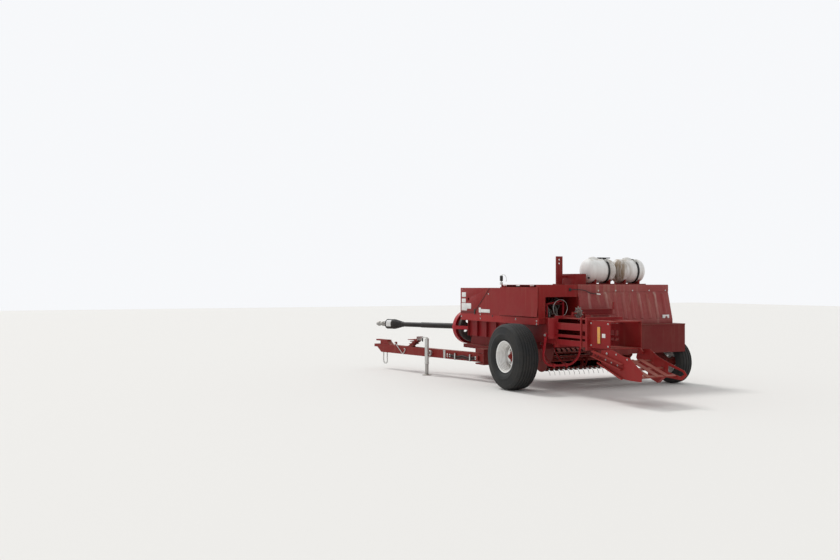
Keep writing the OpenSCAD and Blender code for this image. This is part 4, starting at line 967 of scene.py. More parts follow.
knotters = {
    "x": 0.030, "z": 1.250, "shaft": 0.020, "half": 0.1997, "discMiddle": 0.147, "discHalf": 0.009,
    "hole": 0.080, "castingIn": 0.060, "castingThick": 0.020, "hook": (-0.105, 1.120), "base": 1.0552,
    "hookBends": ((0.0, 0.0, 0.0), (0.004, 0.008, 0.012), (0.022, 0.010, 0.024), (0.044, 0.004, 0.022),
                  (0.056, 0.0, 0.014)),
    "casting": ((-0.146, 1.0875), (-0.066, 1.0875), (0.016, 1.2135), (0.030, 1.2105), (0.051, 1.220),
                (0.064, 1.241), (0.064, 1.259), (0.050, 1.280), (0.028, 1.2875), (-0.016, 1.276),
                (-0.126, 1.178)),
    "opening": ((-0.112, 1.150), (-0.080, 1.118), (-0.036, 1.180), (-0.042, 1.206)),
    "knife": ((-0.020, 1.182), (-0.004, 1.170), (-0.062, 1.104), (-0.128, 1.078), (-0.136, 1.088),
              (-0.078, 1.118)),
    "feet": ((-0.132, 1.072), (-0.098, 1.072)),
    "tooth": ((-0.0045, 0.0), (0.0045, 0.0), (0.0025, 0.0078), (-0.0025, 0.0078)),
}


def makeDisc(side):
    k = knotters
    place, h = spot(k["x"], side * k["discMiddle"], k["z"]), k["discHalf"]
    rim = mirrored([(0.036, -h * 0.5), (0.098, -h * 0.5), (0.104, -h), (0.112, -h)])
    disc = spun(rim, place, steps=72, loop=True)
    carve(disc, [crossRod(hole, 0.03, 0.0155) for hole in ringPlaces(place, k["hole"], 8)])
    boss = mirrored([(k["shaft"] + 0.0003, -0.021), (0.037, -0.021), (0.0395, -0.0185)])
    parts = [disc, spun(boss, place, steps=40, loop=True)]
    for start in (20, 200):  # two short rows of teeth
        for i in range(9):
            turn = math.radians(start + i * 7)
            out, along = wayAround(turn), wayAround(turn + math.pi / 2)
            foot = place + out * 0.110 - Vector((0, h * 0.85, 0))
            tooth = [foot + along * a + out * b for a, b in k["tooth"]]
            parts.append(plate(tooth, (0, h * 1.7, 0), 0.0006))
    return fuse(parts)


def makeCasting(side):
    k = knotters
    inner = side * k["castingIn"]
    thick = Vector((0, side * k["castingThick"], 0))
    casting = plate(upright(k["casting"], inner), thick, 0.004)
    carve(casting, [plate(upright(k["opening"], inner - side * 0.01), thick * 2.0, 0)])
    low = spot(-0.150, min(inner, inner + thick.y), k["base"])
    parts = [casting, box(low, low + Vector((0.070, 0.0235, 0.034)), 0.004)]
    hx, hz = k["hook"]
    at = spot(hx, side * 0.064, hz)
    holder = [(0.0, -0.026), (0.014, -0.026), (0.016, -0.023), (0.016, 0.018), (0.020, 0.020), (0.020, 0.024),
              (0.0, 0.024)]
    parts.append(spun(holder, at, steps=32))
    notched = []
    for i in range(24):  # twine disc with four notches
        a = math.tau * i / 24
        r = 0.030 if i % 6 == 0 else 0.043
        notched.append(at + Vector((math.cos(a) * r - 0.012, -0.022 * side, math.sin(a) * r + 0.012)))
    parts.append(plate(notched, (0, -0.006 * side, 0), 0.001))
    parts.append(plate(upright(k["knife"], inner + thick.y + side * 0.002), (0, side * 0.005, 0), 0.001))
    return parts


def makeHook(side):
    hx, hz = knotters["hook"]
    y = side * 0.030
    bends = [spot(hx - back, y - side * inward, hz - down) for back, inward, down in knotters["hookBends"]]
    hook = tube(bends, 0.0055, 12, 6)
    coil = []
    for i in range(61):
        a = math.tau * i / 10
        wound = Vector((i * 0.0009, math.cos(a) * 0.006, i * 0.0010 + math.sin(a) * 0.006))
        coil.append(spot(-0.098, side * 0.094, 1.128) + wound)
    return [hook, tube(coil, 0.0012, 6, 2)]


def makeKnotters():
    k = knotters
    castings = []
    steels = [rod(spot(k["x"], -k["half"], k["z"]), spot(k["x"], k["half"], k["z"]), k["shaft"], 40)]
    for side in (-1, 1):
        castings += [makeDisc(side)] + makeCasting(side)
        steels += makeHook(side)
        steels.append(bolts(upright(k["feet"], side * 0.0845), (0, side, 0), 0.009))
    piece = finishPiece(castings, "knotterCastings", "frame", "cast_iron", smooth=35)
    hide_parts("knotters")
    finishPiece(steels, "knotterShafts", "frame", "bare_steel", smooth=45)


makeKnotters()

measuringWheel = {
    "x": -0.760, "z": 1.130, "tip": 0.104, "root": 0.078, "points": 10, "thick": 0.012, "bore": 0.0102,
    "seat": 0.0205, "holes": 5, "hole": 0.012, "holeRing": 0.048,
}


def makeMeasuringWheel():
    m = measuringWheel
    centre = spot(m["x"], 0, m["z"])
    corners = m["points"] * 3
    outline = []
    for i in range(corners):
        r = m["tip"] if i % 3 == 1 else m["root"]
        outline.append(centre + wayAround(math.tau * i / corners) * r - Vector((0, m["thick"] / 2, 0)))
    star = plate(outline, (0, m["thick"], 0), 0.0015)
    holes = ringPlaces(centre, m["holeRing"], m["holes"], shift=0.5)
    cutters = [crossRod(hole, 0.05, m["hole"]) for hole in holes]
    carve(star, [crossRod(centre, 0.05, m["seat"], 32)] + cutters)
    hub = mirrored([(m["bore"], -0.030), (0.019, -0.030), (0.022, -0.027), (0.022, -0.008), (0.030, -0.006)])
    hub = spun(hub, centre, steps=48, loop=True)
    piece = finishPiece([star, hub], "measuringStar", "measuring_wheel", "bare_steel", starSteel)
    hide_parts("measuring_wheel")


makeMeasuringWheel()
print("knotters are made")

# Left side panels

panels = {
    "face": 0.400, "front": 1.967, "top": 1.477, "seamTop": 1.034, "seamLow": 1.497, "seamFoot": 1.094,
    "frontFoot": 1.086, "lap": 0.004, "trim": 0.008, "sightHole": (1.705, 1.296, 0.024),
    "plug": (0.942, 1.044, 0.017), "latch": ((1.472, 1.070), (1.512, 1.140)),
    "latchPin": (1.480, 1.504, 1.062),
    "bolts": ((1.937, 1.009), (1.311, 1.057), (1.311, 0.992), (0.262, 1.017), (-0.299, 1.007),
              (-0.299, 0.963), (1.059, 1.387), (1.880, 1.450), (1.880, 1.110)),
    "plates": ((1.785, 1.330, 1.919, 1.407), (1.789, 1.238, 1.922, 1.303), (1.750, 1.108, 1.932, 1.229),
               (1.612, 1.140, 1.7485, 1.229), (1.289, 1.086, 1.360, 1.166), (1.014, 1.090, 1.2875, 1.143)),
}


def onFace(x, z, out=0.0):
    return spot(x, panels["face"] + out, z)


def flatPlates(places, out):  # bare plates, as corner pairs on the left face
    parts = []
    for x0, z0, x1, z1 in places:
        r = min(0.008, (x1 - x0) / 4)
        outline = []
        corners = ((x1 - r, z1 - r, 0), (x0 + r, z1 - r, 90), (x0 + r, z0 + r, 180), (x1 - r, z0 + r, 270))
        for cx, cz, start in corners:
            for step in range(4):
                a = math.radians(start + step * 30)
                outline.append(onFace(cx + math.cos(a) * r, cz + math.sin(a) * r, out))
        parts.append(plate(outline, (0, 0.001, 0), 0.0003))
    return fuse(parts)


def strip(a, b):  # a flat trim strip on the left face, from a to b
    a, b = Vector((a[0], 0, a[1])), Vector((b[0], 0, b[1]))
    across = (b - a).cross(Vector((0, 1, 0))).normalized() * panels["trim"] / 2
    corners = [a + across, b + across, b - across, a - across]
    return plate([onFace(c.x, c.z, 0.0002) for c in corners], (0, 0.0042, 0), 0.0008)


def makePanels():
    p = panels
    corners = ((p["front"], p["top"]), (p["seamTop"], p["top"]), (p["seamLow"], p["seamFoot"]),
               (p["front"], p["frontFoot"]))
    sheet = plate([onFace(x, z, 0.0002) for x, z in corners], (0, p["lap"], 0), 0)
    x, z, r = p["sightHole"]
    carve(sheet, [crossRod(onFace(x, z), 0.05, r, 32)])
    roundEdges(sheet, 0.0012)
    lip = [(r + 0.001, 0.0), (r + 0.007, 0.0), (r + 0.007, 0.0015), (r + 0.003, 0.003), (r + 0.001, 0.002)]
    lip = spun(lip, onFace(x, z, p["lap"]), steps=40, loop=True)
    finishPiece([sheet, lip], "shieldPanel", "frame", "red_paint", sidePaint)

    seam = [strip((p["seamTop"] - 0.006, p["top"]), (p["seamLow"] - 0.006, p["seamFoot"] - 0.004)),
            strip((p["seamLow"] - 0.010, p["seamFoot"] - 0.005), (p["front"], p["frontFoot"] - 0.006))]
    x, z, r = p["plug"]
    plug = [(0.0, 0.0004), (r, 0.0004), (r, 0.002), (r - 0.004, 0.003), (0.0, 0.0014)]
    seam.append(spun(plug, onFace(x, z), steps=32))
    low, high = p["latch"]
    x0, x1, z = p["latchPin"]
    latch = [box(onFace(*low), onFace(*high, 0.010), 0.003),
             rod(onFace(x0, z, 0.008), onFace(x1, z, 0.008), 0.006, 12)]
    finishPiece(seam + latch, "panelTrim", "frame", "black_plastic")
    finishPiece(flatPlates(p["plates"], p["lap"] - 0.0002), "sidePlates", "frame", "white_plate")
    heads = bolts([onFace(x, z, 0.0003) for x, z in p["bolts"]], (0, 1, 0), 0.015)
    finishPiece(heads, "panelBolts", "frame", "zinc_steel")


twineGuide = {
    "x": 0.712, "y": 0.376,
    "hook": ((0.712, 0.376, 1.676), (0.690, 0.372, 1.690), (0.640, 0.366, 1.688), (0.600, 0.360, 1.655),
             (0.590, 0.358, 1.615), (0.596, 0.358, 1.590), (0.606, 0.359, 1.580)),
    "foot": ((0.690, 0.362, 1.5342), (0.735, 0.390, 1.575)),
    "guard": ((0.690, 0.358, 1.590), (0.734, 0.394, 1.670)),
}
doorHinge = {"middles": (-0.200, 0.170, 0.540), "reach": 0.045, "y": 0.4155, "z": 1.5205, "radius": 0.0085}


def makeTwineBoxDetails():
    g, h = twineGuide, doorHinge
    post = [box(*spots(g["foot"]), 0.004),
            rod(spot(g["x"], g["y"], 1.565), spot(g["x"], g["y"], 1.590), 0.012, 16),
            rod(spot(g["x"], g["y"], 1.668), spot(g["x"], g["y"], 1.680), 0.017, 20, 0.003)]
    hook = tube(spots(g["hook"]), 0.0035, 8, 6)
    finishPiece(post + [hook], "twineGuide", "frame", "zinc_steel", smooth=50)
    finishPiece(box(*spots(g["guard"]), 0.006), "twineGuard", "frame", "black_plastic")
    pins = [rod(spot(x - h["reach"], h["y"], h["z"]), spot(x + h["reach"], h["y"], h["z"]), h["radius"], 16)
            for x in h["middles"]]
    finishPiece(pins, "doorHinges", "frame", "zinc_steel")


makePanels()
makeTwineBoxDetails()
print("side panels are made")

# Rear wall of the feeder housing

rearWall = {
    "x": -0.344, "inner": -0.290, "outer": -2.000, "top": 1.534, "seam": 1.430, "foot": 1.000, "low": 0.940,
    "flare": 0.106, "sheet": 0.008, "firstRib": -0.790, "ribPitch": 0.155, "ribs": 8, "ribWidth": 0.068,
    "ribHeight": 0.014, "boltRow": 1.446, "bolts": (-0.66, -0.98, -1.30, -1.62, -1.94),
    "plate": (-1.930, 1.020), "plateSize": (0.130, 0.052),
}
lever = {
    "line": ((-0.352, -0.150, 1.462), (-0.380, -0.160, 1.462), (-0.400, -0.220, 1.462),
             (-0.404, -0.330, 1.458), (-0.404, -0.400, 1.444), (-0.404, -0.460, 1.412),
             (-0.404, -0.520, 1.402), (-0.404, -0.640, 1.392)),
    "radius": 0.006, "grip": (-0.404, -0.585, 1.3965),
    "foot": ((-0.3445, -0.170, 1.440), (-0.356, -0.130, 1.484)),
}


def makeRearWall():
    w = rearWall
    x, t = w["x"], w["sheet"]
    out = x - w["flare"]
    profile = [(x, w["top"]), (x, w["seam"]), (out, w["foot"]), (out, w["low"]), (out + t, w["low"]),
               (out + t, w["foot"]), (x + t, w["seam"]), (x + t, w["top"])]
    across = w["outer"] - w["inner"]
    parts = [plate(upright(profile, w["inner"]), (0, across, 0), 0.0025)]
    slope = Vector((-w["flare"], 0, w["foot"] - w["seam"])).normalized()
    outward = Vector((slope.z, 0, -slope.x))
    top = spot(x, 0, w["seam"]) + slope * 0.030
    length = (w["seam"] - w["foot"]) / -slope.z - 0.045
    for i in range(w["ribs"]):
        middle = Vector((0, w["firstRib"] - w["ribPitch"] * i, 0)) + top
        half = Vector((0, w["ribWidth"] / 2, 0))
        low = middle + slope * length
        rib = drawLine([middle + half, middle - half, low - half, low + half], closed=True)
        edit(rib)
        bpy.ops.mesh.extrude_region_move(TRANSFORM_OT_translate={"value": outward * w["ribHeight"]})
        bpy.ops.transform.resize(value=(0.94, 0.34, 0.94))
        faceOutward()
        roundEdges(rib, 0.004, 3, 10)
        parts.append(rib)
    wall = finishPiece(parts, "rearWallSheet", "frame", "red_paint", ribbedPaint)
    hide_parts("rear_wall")
    face = x - 0.0085
    band = [(x - 0.0005, w["top"] - 0.002), (face, w["top"] - 0.004), (face, w["seam"] - 0.004),
            (x - 0.0005, w["seam"] - 0.004)]
    band = plate(upright(band, w["inner"]), (0, across + 0.002, 0), 0.0015)
    finishPiece(band, "rearWallBand", "frame", "red_paint", wallPaint)
    heads = bolts([spot(face, y, w["boltRow"]) for y in w["bolts"]], (-1, 0, 0), 0.012)
    finishPiece(heads, "rearWallBolts", "frame", "zinc_steel")
    low = spot(out - 0.0012, *w["plate"])
    sign = box(low, low + Vector((0.0014, *w["plateSize"])), 0.0004)
    finishPiece(sign, "wallPlate", "frame", "white_plate")


def makeLever():
    arm = tube(spots(lever["line"]), lever["radius"], 12, 6)
    foot = box(*spots(lever["foot"]), 0.003)
    finishPiece([arm, foot], "twineLever", "frame", "black_plastic", smooth=60)
    grip = spun([(0.0, 0.0), (0.008, 0.001), (0.010, 0.010), (0.0095, 0.065), (0.006, 0.072), (0.0, 0.073)],
                spot(*lever["grip"]), axis=(0, -1, -0.08), steps=24)
    finishPiece(grip, "leverGrip", "frame", "white_plate")


makeRearWall()
makeLever()
print("rear wall is made")

# Chamber rear end

rearEnd = {
    "face": 0.260, "reflector": (-1.601, 0.755, -1.541, 0.975), "plate": (-1.703, 0.836, -1.634, 0.889),
    "bolts": ((-1.400, 1.020), (-1.400, 0.725), (-1.760, 1.020), (-1.760, 0.725), (-1.330, 0.975),
              (-1.330, 0.820)),
}


def makeRearEnd():
    e = rearEnd
    x0, z0, x1, z1 = e["reflector"]
    y = e["face"]
    base = box(spot(x0 - 0.004, y + 0.0003, z0 - 0.004), spot(x1 + 0.004, y + 0.0035, z1 + 0.004), 0.001)
    finishPiece(base, "reflectorBase", "frame", "black_plastic")
    lens = box(spot(x0, y + 0.002, z0), spot(x1, y + 0.009, z1), 0.004, 3)
    finishPiece(lens, "reflector", "frame", "amber_reflector")
    x0, z0, x1, z1 = e["plate"]
    sign = box(spot(x0, y + 0.0002, z0), spot(x1, y + 0.0014, z1), 0.0004)
    finishPiece(sign, "endPlate", "frame", "white_plate")
    heads = bolts(upright(e["bolts"], y + 0.0002), (0, 1, 0), 0.014)
    finishPiece(heads, "endBolts", "frame", "zinc_steel")


makeRearEnd()

# Needle yoke

yoke = {
    "x": -0.420, "z": 0.810, "arm": 0.318, "radius": 0.470, "corner": 0.195, "tube": 0.018, "needle": 0.010,
    "needleSide": 0.110, "rest": -75, "start": -75, "sweep": 58,
}


def aboutYoke(radius, angle, side):
    a = math.radians(angle)
    return spot(yoke["x"] + radius * math.cos(a), side, yoke["z"] + radius * math.sin(a))


def aroundYoke(places, side, thickness, rounding):  # a plate between (radius, angle) places
    corners = [aboutYoke(r, turn, side - thickness / 2) for r, turn in places]
    return plate(corners, (0, thickness, 0), rounding)


def makeYoke():
    y = yoke
    rest, r = y["rest"], y["radius"]
    halves = []
    for side in (1, -1):
        half = [aboutYoke(0.030, rest, side * y["arm"])]
        for step in range(13):
            a = math.radians(90 * step / 12)
            half.append(aboutYoke(r - y["corner"] * (1 - math.sin(a)), rest,
                                  side * (y["arm"] - y["corner"] * (1 - math.cos(a)))))
        halves.append(half)
    parts = [tube(halves[0] + halves[1][::-1], y["tube"], 20, 1)]
    for side in (-1, 1):
        at = spot(y["x"], side * y["arm"], y["z"])
        boss = mirrored([(0.0202, -0.016), (0.034, -0.016), (0.036, -0.014)])
        parts.append(spun(boss, at, steps=48, loop=True))
        web = [(0.033, rest - 70), (0.033, rest + 70), (0.150, rest + 8), (0.150, rest - 8)]
        parts.append(aroundYoke(web, side * y["arm"], 0.010, 0.002))
        seat = [(r - 0.034, rest - 4), (r + 0.022, rest - 4.5), (r + 0.022, rest + 6), (r + 0.010, rest + 9),
                (r - 0.026, rest + 5)]
        parts.append(aroundYoke(seat, side * y["needleSide"], 0.030, 0.003))
        arc = [aboutYoke(r, y["start"] + y["sweep"] * i / 30, side * y["needleSide"]) for i in range(30)]
        parts.append(tube(arc, y["needle"], 16, 1))
    bow = finishPiece(parts, "needleYoke", "needles", "bright_red_paint", smooth=45)
    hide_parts("needle_yoke")
    steels = []
    for side in (-1, 1):
        end = y["start"] + y["sweep"]
        tip = [aboutYoke(r, end - 4.2 + i * 0.6, side * y["needleSide"]) for i in range(8)]
        steels.append(tube(tip, y["needle"] - 0.0015, 16, 1))
        wheel = aboutYoke(r, end - 3.2, side * y["needleSide"])
        roller = mirrored([(0.003, -0.013), (0.0075, -0.013), (0.0085, -0.0125)])
        steels.append(spun(roller, wheel, steps=24, loop=True))
        heads = [aboutYoke(r + out, rest + 1.5, side * (y["needleSide"] + 0.0152)) for out in (-0.014, 0.011)]
        steels.append(bolts(heads, (0, side, 0), 0.009))
    finishPiece(steels, "needleTips", "needles", "bare_steel", smooth=45)
    studs = [bolts([spot(y["x"], side * (y["arm"] + 0.0202), y["z"])], (0, side, 0), 0.024)
             for side in (-1, 1)]
    finishPiece(studs, "yokeStuds", "frame", "zinc_steel")


makeYoke()
print("rear end and needles are made")

# Chute details

chute = {
    "y": 0.306, "slope": 0.22, "channelStart": (-1.510, 0.617), "channelBolts": (-1.780, -1.900, -2.020),
    "plateBolts": ((-1.985, 0.640), (-2.200, 0.590)), "hinge": (-1.800, 0.640),
}


def makeChuteBolts():
    y = chute["y"]
    heads = []
    for side in (-1, 1):
        places = chute["plateBolts"][:1 if side < 0 else 2]
        heads.append(bolts(upright(places, side * (y + 0.0002)), (0, side, 0), 0.013))
    startX, startZ = chute["channelStart"]
    places = [spot(x, y + 0.0082, startZ + (x - startX) * chute["slope"]) for x in chute["channelBolts"]]
    heads.append(bolts(places, (0, 1, 0), 0.013))
    finishPiece(heads, "chuteBolts", "chute", "zinc_steel")
    x, z = chute["hinge"]
    pins = [bolts([spot(x, side * (y + 0.0062), z)], (0, side, 0), 0.017) for side in (-1, 1)]
    finishPiece(pins, "chuteHinges", "frame", "zinc_steel")


makeChuteBolts()
print("chute details are made")

# Tongue

tongue = {
    "x": 1.200, "y": 0.400, "z": 0.372, "turn": 10.74, "half": 0.060, "halfHeight": 0.070, "length": 2.952,
    "hoseStart": 0.090, "hoseLength": 0.700, "hoseRadius": 0.010, "hoseRise": 0.015,
    "clamps": (0.250, 0.630),
}
tongueTurn = math.radians(tongue["turn"])
tongueWay = Vector((math.cos(tongueTurn), math.sin(tongueTurn), 0))
tongueSide = Vector((-math.sin(tongueTurn), math.cos(tongueTurn), 0))
tongueStart = spot(tongue["x"], tongue["y"], tongue["z"])
tongueFrame = Matrix.Translation(tongueStart) @ Matrix.Rotation(tongueTurn, 4, "Z")


def onTongue(along, side, up):
    return tongueStart + tongueWay * along + tongueSide * side + Vector((0, 0, up))


def alongTongue(piece):  # turns a piece made along X to lie along the tongue
    piece.matrix_world = tongueFrame @ piece.matrix_world
    return settle(piece)


def hoseLine(rise):
    line = []
    for i in range(25):
        wave = math.cos(math.radians(720 * min(max(i - 1, 0), 22) / 22))
        line.append(onTongue(tongue["hoseStart"] + i * tongue["hoseLength"] / 24, tongue["half"] + 0.017,
                             -0.022 + 0.010 * wave + rise))
    return line


def makeHoses():
    rises = (-tongue["hoseRise"], tongue["hoseRise"])
    hoses = [tube(hoseLine(rise), tongue["hoseRadius"], 16, 6) for rise in rises]
    hoses = finishPiece(hoses, "tongueHoses", "tongue", "hose_rubber", smooth=50)
    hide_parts("hydraulic_hoses")
    sleeves = []
    start, end = tongue["hoseStart"], tongue["hoseStart"] + tongue["hoseLength"]
    side = tongue["half"] + 0.017
    ring = [(0.0104, 0.001), (0.0122, 0.002), (0.0122, 0.010), (0.0112, 0.012), (0.0122, 0.014),
            (0.0122, 0.022), (0.0112, 0.024), (0.0122, 0.026), (0.0122, 0.034), (0.0104, 0.036)]
    coupler = [(0.0, 0.004), (0.0125, 0.004), (0.0125, 0.012), (0.0150, 0.013), (0.0158, 0.016),
               (0.0158, 0.030), (0.0150, 0.033), (0.0118, 0.034), (0.0118, 0.052), (0.0105, 0.056),
               (0.0085, 0.058), (0.0, 0.050)]
    for rise in rises:
        z = -0.012 + rise
        for at, way in ((start, 1), (end, -1)):
            sleeves.append(spun(ring, onTongue(at, side, z), tongueWay * way, steps=32, loop=True))
        for at in (start - 0.001, end + 0.013):
            sleeves.append(rod(onTongue(at, side, z), onTongue(at + 0.006, side, z), 0.0128, 6, 0.001))
        sleeves.append(spun(coupler, onTongue(end + 0.012, side, z), tongueWay, steps=40))
    return sleeves


def makeClamps():
    parts = makeHoses()
    side = tongue["half"]
    strap = ((0.0, 0.040), (0.003, 0.044), (0.029, 0.044), (0.0325, 0.040), (0.0325, -0.066),
             (0.029, -0.0695), (0.003, -0.0695), (0.0, -0.066))
    inside = ((-0.001, 0.0385), (0.0275, 0.0385), (0.0275, -0.064), (-0.001, -0.064))
    for at in tongue["clamps"]:
        outer = [onTongue(at - 0.0125, side + out, up) for out, up in strap]
        inner = [onTongue(at - 0.0140, side + out, up) for out, up in inside]
        clamp = plate(outer, tongueWay * 0.025, 0.0015)
        carve(clamp, [plate(inner, tongueWay * 0.028, 0)])
        parts.append(clamp)
        for up in (0.030, -0.056):
            parts.append(bolts([onTongue(at, side + 0.032, up)], tongueSide, 0.0095))
    corners = ((0.905, -0.069), (0.960, -0.069), (0.960, 0.069), (0.905, 0.069))
    parts.append(plate([onTongue(at, side, up) for at, up in corners], tongueSide * 0.008, 0.0015))
    parts.append(bolts([onTongue(0.932, side + 0.008, up) for up in (-0.050, 0.050)], tongueSide, 0.012))
    finishPiece(parts, "hoseFittings", "tongue", "zinc_steel", smooth=40)


chain = {"pitch": 0.0354, "strand": 4, "bendRadius": 0.0574, "bend": 5, "drop": 0.026, "back": 0.210}


def makeLink():
    link = tube([(math.cos(a) * 0.0095 + (0.0115 if math.cos(a) > 0 else -0.0115), math.sin(a) * 0.0095, 0)
                 for a in (math.tau * i / 24 for i in range(25))], 0.0046, 8, 2, False)
    edit(link)
    bpy.ops.mesh.remove_doubles(threshold=0.0008)
    leave()
    return link


def makeChain():
    pitch, strand, bendRadius, bend = (chain[key] for key in ("pitch", "strand", "bendRadius", "bend"))
    top = -tongue["halfHeight"] - chain["drop"]
    middle = tongue["length"] - chain["back"]
    hangs = [((middle + side * bendRadius, 0, top - pitch * i), 90, i) for side in (-1, 1)
             for i in range(strand)]
    for i in range(bend):
        turn = 180 * (i + 0.5) / bend
        a = math.radians(turn)
        at = (middle - bendRadius * math.cos(a), 0, top - pitch * (strand - 0.5) - bendRadius * math.sin(a))
        hangs.append((at, 90 - turn, i + strand))
    links = []
    for at, tilt, number in hangs:  # each link a quarter turn from the last
        roll = Matrix.Rotation(math.radians(90 * (number % 2)), 4, "X")
        turn = Matrix.Rotation(math.radians(tilt), 4, "Y") @ roll
        links.append(tongueFrame @ Matrix.Translation(at) @ turn)
    links = copied(makeLink(), links)
    eyes = []
    for side in (-1, 1):
        at = middle + side * bendRadius
        corners = ((-0.013, -0.0702), (0.013, -0.0702), (0.007, -0.0900), (-0.007, -0.0900))
        corners = [onTongue(at + along, -0.004, up) for along, up in corners]
        eyes.append(plate(corners, tongueSide * 0.008, 0.0015))
    piece = finishPiece([settle(fuse(links))] + eyes, "safetyChain", "tongue", "zinc_steel", smooth=60)
    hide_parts("safety_chain")


tongueDetails = {
    "rod": ((2.350, 0.128), (2.344, 0.120), (2.225, 0.026), (2.120, -0.056), (2.104, -0.066), (2.094, -0.060),
            (2.060, -0.030), (2.028, 0.014), (2.040, 0.030), (2.066, 0.024)),
    "bars": ((1.705, 1.800, 0.203, 0.214), (1.760, 1.900, 0.160, 0.171), (1.800, 1.930, 0.120, 0.131)),
    "end": ((1.6915, -0.068, 0.192), (1.6895, 0.068, 0.258)),
    "endBolts": ((1.700, -0.045, 0.226), (1.700, 0.045, 0.226)),
}


def makeTongueDetails():
    side = tongue["half"]
    bent = tube([onTongue(at, side + 0.012, up) for at, up in tongueDetails["rod"]], 0.0072, 12, 6)
    finishPiece(bent, "tongueRod", "tongue", "zinc_steel", smooth=60)
    lugs = [alongTongue(box((2.080, side - 0.002, -0.070), (2.126, side + 0.006, -0.040), 0.002)),
            alongTongue(box((2.326, side - 0.030, 0.068), (2.362, side + 0.004, 0.136), 0.003))]
    finishPiece(lugs, "tongueLugs", "tongue", "red_paint")
    stack = [alongTongue(box((x0, -0.066, z0), (x1, 0.066, z1), 0.003))
             for x0, x1, z0, z1 in tongueDetails["bars"]]
    finishPiece(stack, "supportBars", "tongue", "red_paint")
    end = [alongTongue(box(*tongueDetails["end"], 0.0008)),
           alongTongue(bolts(tongueDetails["endBolts"], (-1, 0, 0), 0.011))]
    finishPiece(end, "supportEnd", "tongue", "zinc_steel")


makeClamps()
makeChain()
makeTongueDetails()
print("tongue is made")

# Pickup

pickup = {
    "x": 0.800, "z": 0.335, "left": -0.412, "right": -1.972, "end": 0.030, "bars": 4, "barTurn": 20,
    "bar": 0.013, "barRing": 0.150, "disc": 0.168, "core": 0.038, "axle": 0.020, "tip": 0.262,
    "strippers": 16, "wire": 0.0034,
}


def aboutReel(radius, angle, side):
    a = math.radians(angle)
    return spot(pickup["x"] + radius * math.cos(a), side, pickup["z"] - radius * math.sin(a))


def makeTine():  # a coil round its bar and a long finger, built on the X axis
    p = pickup
    r = p["bar"] + p["wire"] + 0.0004
    line = []
    for i in range(40):
        a = math.tau * (i / 12) + math.radians(90) - math.tau * 39 / 12
        line.append((p["barRing"] + math.cos(a) * -r, -0.012 + 0.022 * i / 39, math.sin(a) * r))
    line += [(p["barRing"] + 0.014, 0.0105, r * 0.85), (p["barRing"] + 0.034, 0.008, r * 0.45),
             (p["barRing"] + 0.060, 0.003, 0.002), (p["tip"] - 0.022, 0.0, -0.001),
             (p["tip"] - 0.0015, 0.0, 0.003)]
    return tube(line, p["wire"], 8, 2)


def makeReel():
    p = pickup
    inner, outer = p["left"] - p["end"], p["right"] + p["end"]
    pitch = (p["left"] - p["right"] - 0.040) / p["strippers"]
    places = []
    for k in range(p["bars"]):
        turn = Matrix.Rotation(math.radians(90 * k + p["barTurn"]), 4, "Y")
        for i in range(1, p["strippers"]):
            places.append(Matrix.Translation(spot(p["x"], p["left"] - 0.020 - pitch * i, p["z"])) @ turn)
    tines = finishPiece(copied(makeTine(), places), "reelTines", "pickup_reel", "bare_steel", smooth=60)
    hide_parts("pickup_reel")
    parts = [rod(aboutReel(0, 0, p["right"] + 0.002), aboutReel(0, 0, p["left"] + 0.004), p["axle"], 32),
             rod(aboutReel(0, 0, outer - 0.012), aboutReel(0, 0, inner + 0.012), p["core"], 40)]
    for k in range(p["bars"]):
        angle = 90 * k + p["barTurn"]
        ends = [aboutReel(p["barRing"], angle, side) for side in (outer, inner)]
        parts.append(rod(*ends, p["bar"], 24))
    for side in (inner, (inner + outer) / 2, outer):
        profile = mirrored([(p["core"] - 0.002, -0.004), (0.160, -0.004), (p["disc"], -0.003)])
        disc = spun(profile, aboutReel(0, 0, side), steps=64, loop=True)
        carve(disc, [crossRod(aboutReel(0.095, 90 * i + 65, side), 0.03, 0.034, 32) for i in range(4)])
        parts.append(disc)
    finishPiece(parts, "reelFrame", "pickup_reel", "red_paint", smooth=40)


makeReel()

gauge = {
    "x": 0.825, "y": -2.057, "z": 0.210, "radius": 0.190, "bore": 0.0161, "rim": 0.142, "boltCircle": 0.090,
    "bolts": 5, "grooves": (-0.022, 0.0, 0.022),
}


def makeGaugeWheel():
    g = gauge
    place, r = spot(g["x"], g["y"], g["z"]), g["radius"]
    tyre = [(g["rim"] - 0.001, -0.041), (g["rim"] + 0.004, -0.044), (0.152, -0.046), (0.166, -0.0495),
            (0.176, -0.050), (0.182, -0.045), (r - 0.004, -0.037), (r - 0.001, -0.033)]
    crown = []
    groove = mirrored([(r, -0.0085), (r, -0.004), (r - 0.005, -0.002)])
    for y in g["grooves"]:
        crown += [(radius, y + along) for radius, along in groove]
    profile = tyre + crown + [(radius, -y) for radius, y in reversed(tyre)]
    rubber = spun(profile, place, steps=96, loop=True)
    rubber = finishPiece(rubber, "gaugeTyre", "gauge_wheel", "tyre_rubber", smooth=40)
    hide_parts("gauge_wheel")
    rim = mirrored([(g["bore"], -0.045), (0.056, -0.045), (0.059, -0.042), (0.064, -0.018), (0.078, -0.013),
                    (0.118, -0.012), (0.130, -0.020), (0.138, -0.040), (0.142, -0.045), (0.147, -0.0465),
                    (0.147, -0.044), (0.1425, -0.041)])
    finishPiece(spun(rim, place, steps=72, loop=True), "gaugeRim", "gauge_wheel", "silver_paint", smooth=40)
    nuts = [bolts(ringPlaces(place, g["boltCircle"], g["bolts"], side * 0.0132), (0, side, 0), 0.011)
            for side in (-1, 1)]
    finishPiece(nuts, "gaugeNuts", "gauge_wheel", "zinc_steel")


makeGaugeWheel()
print("pickup is made")

# Jack

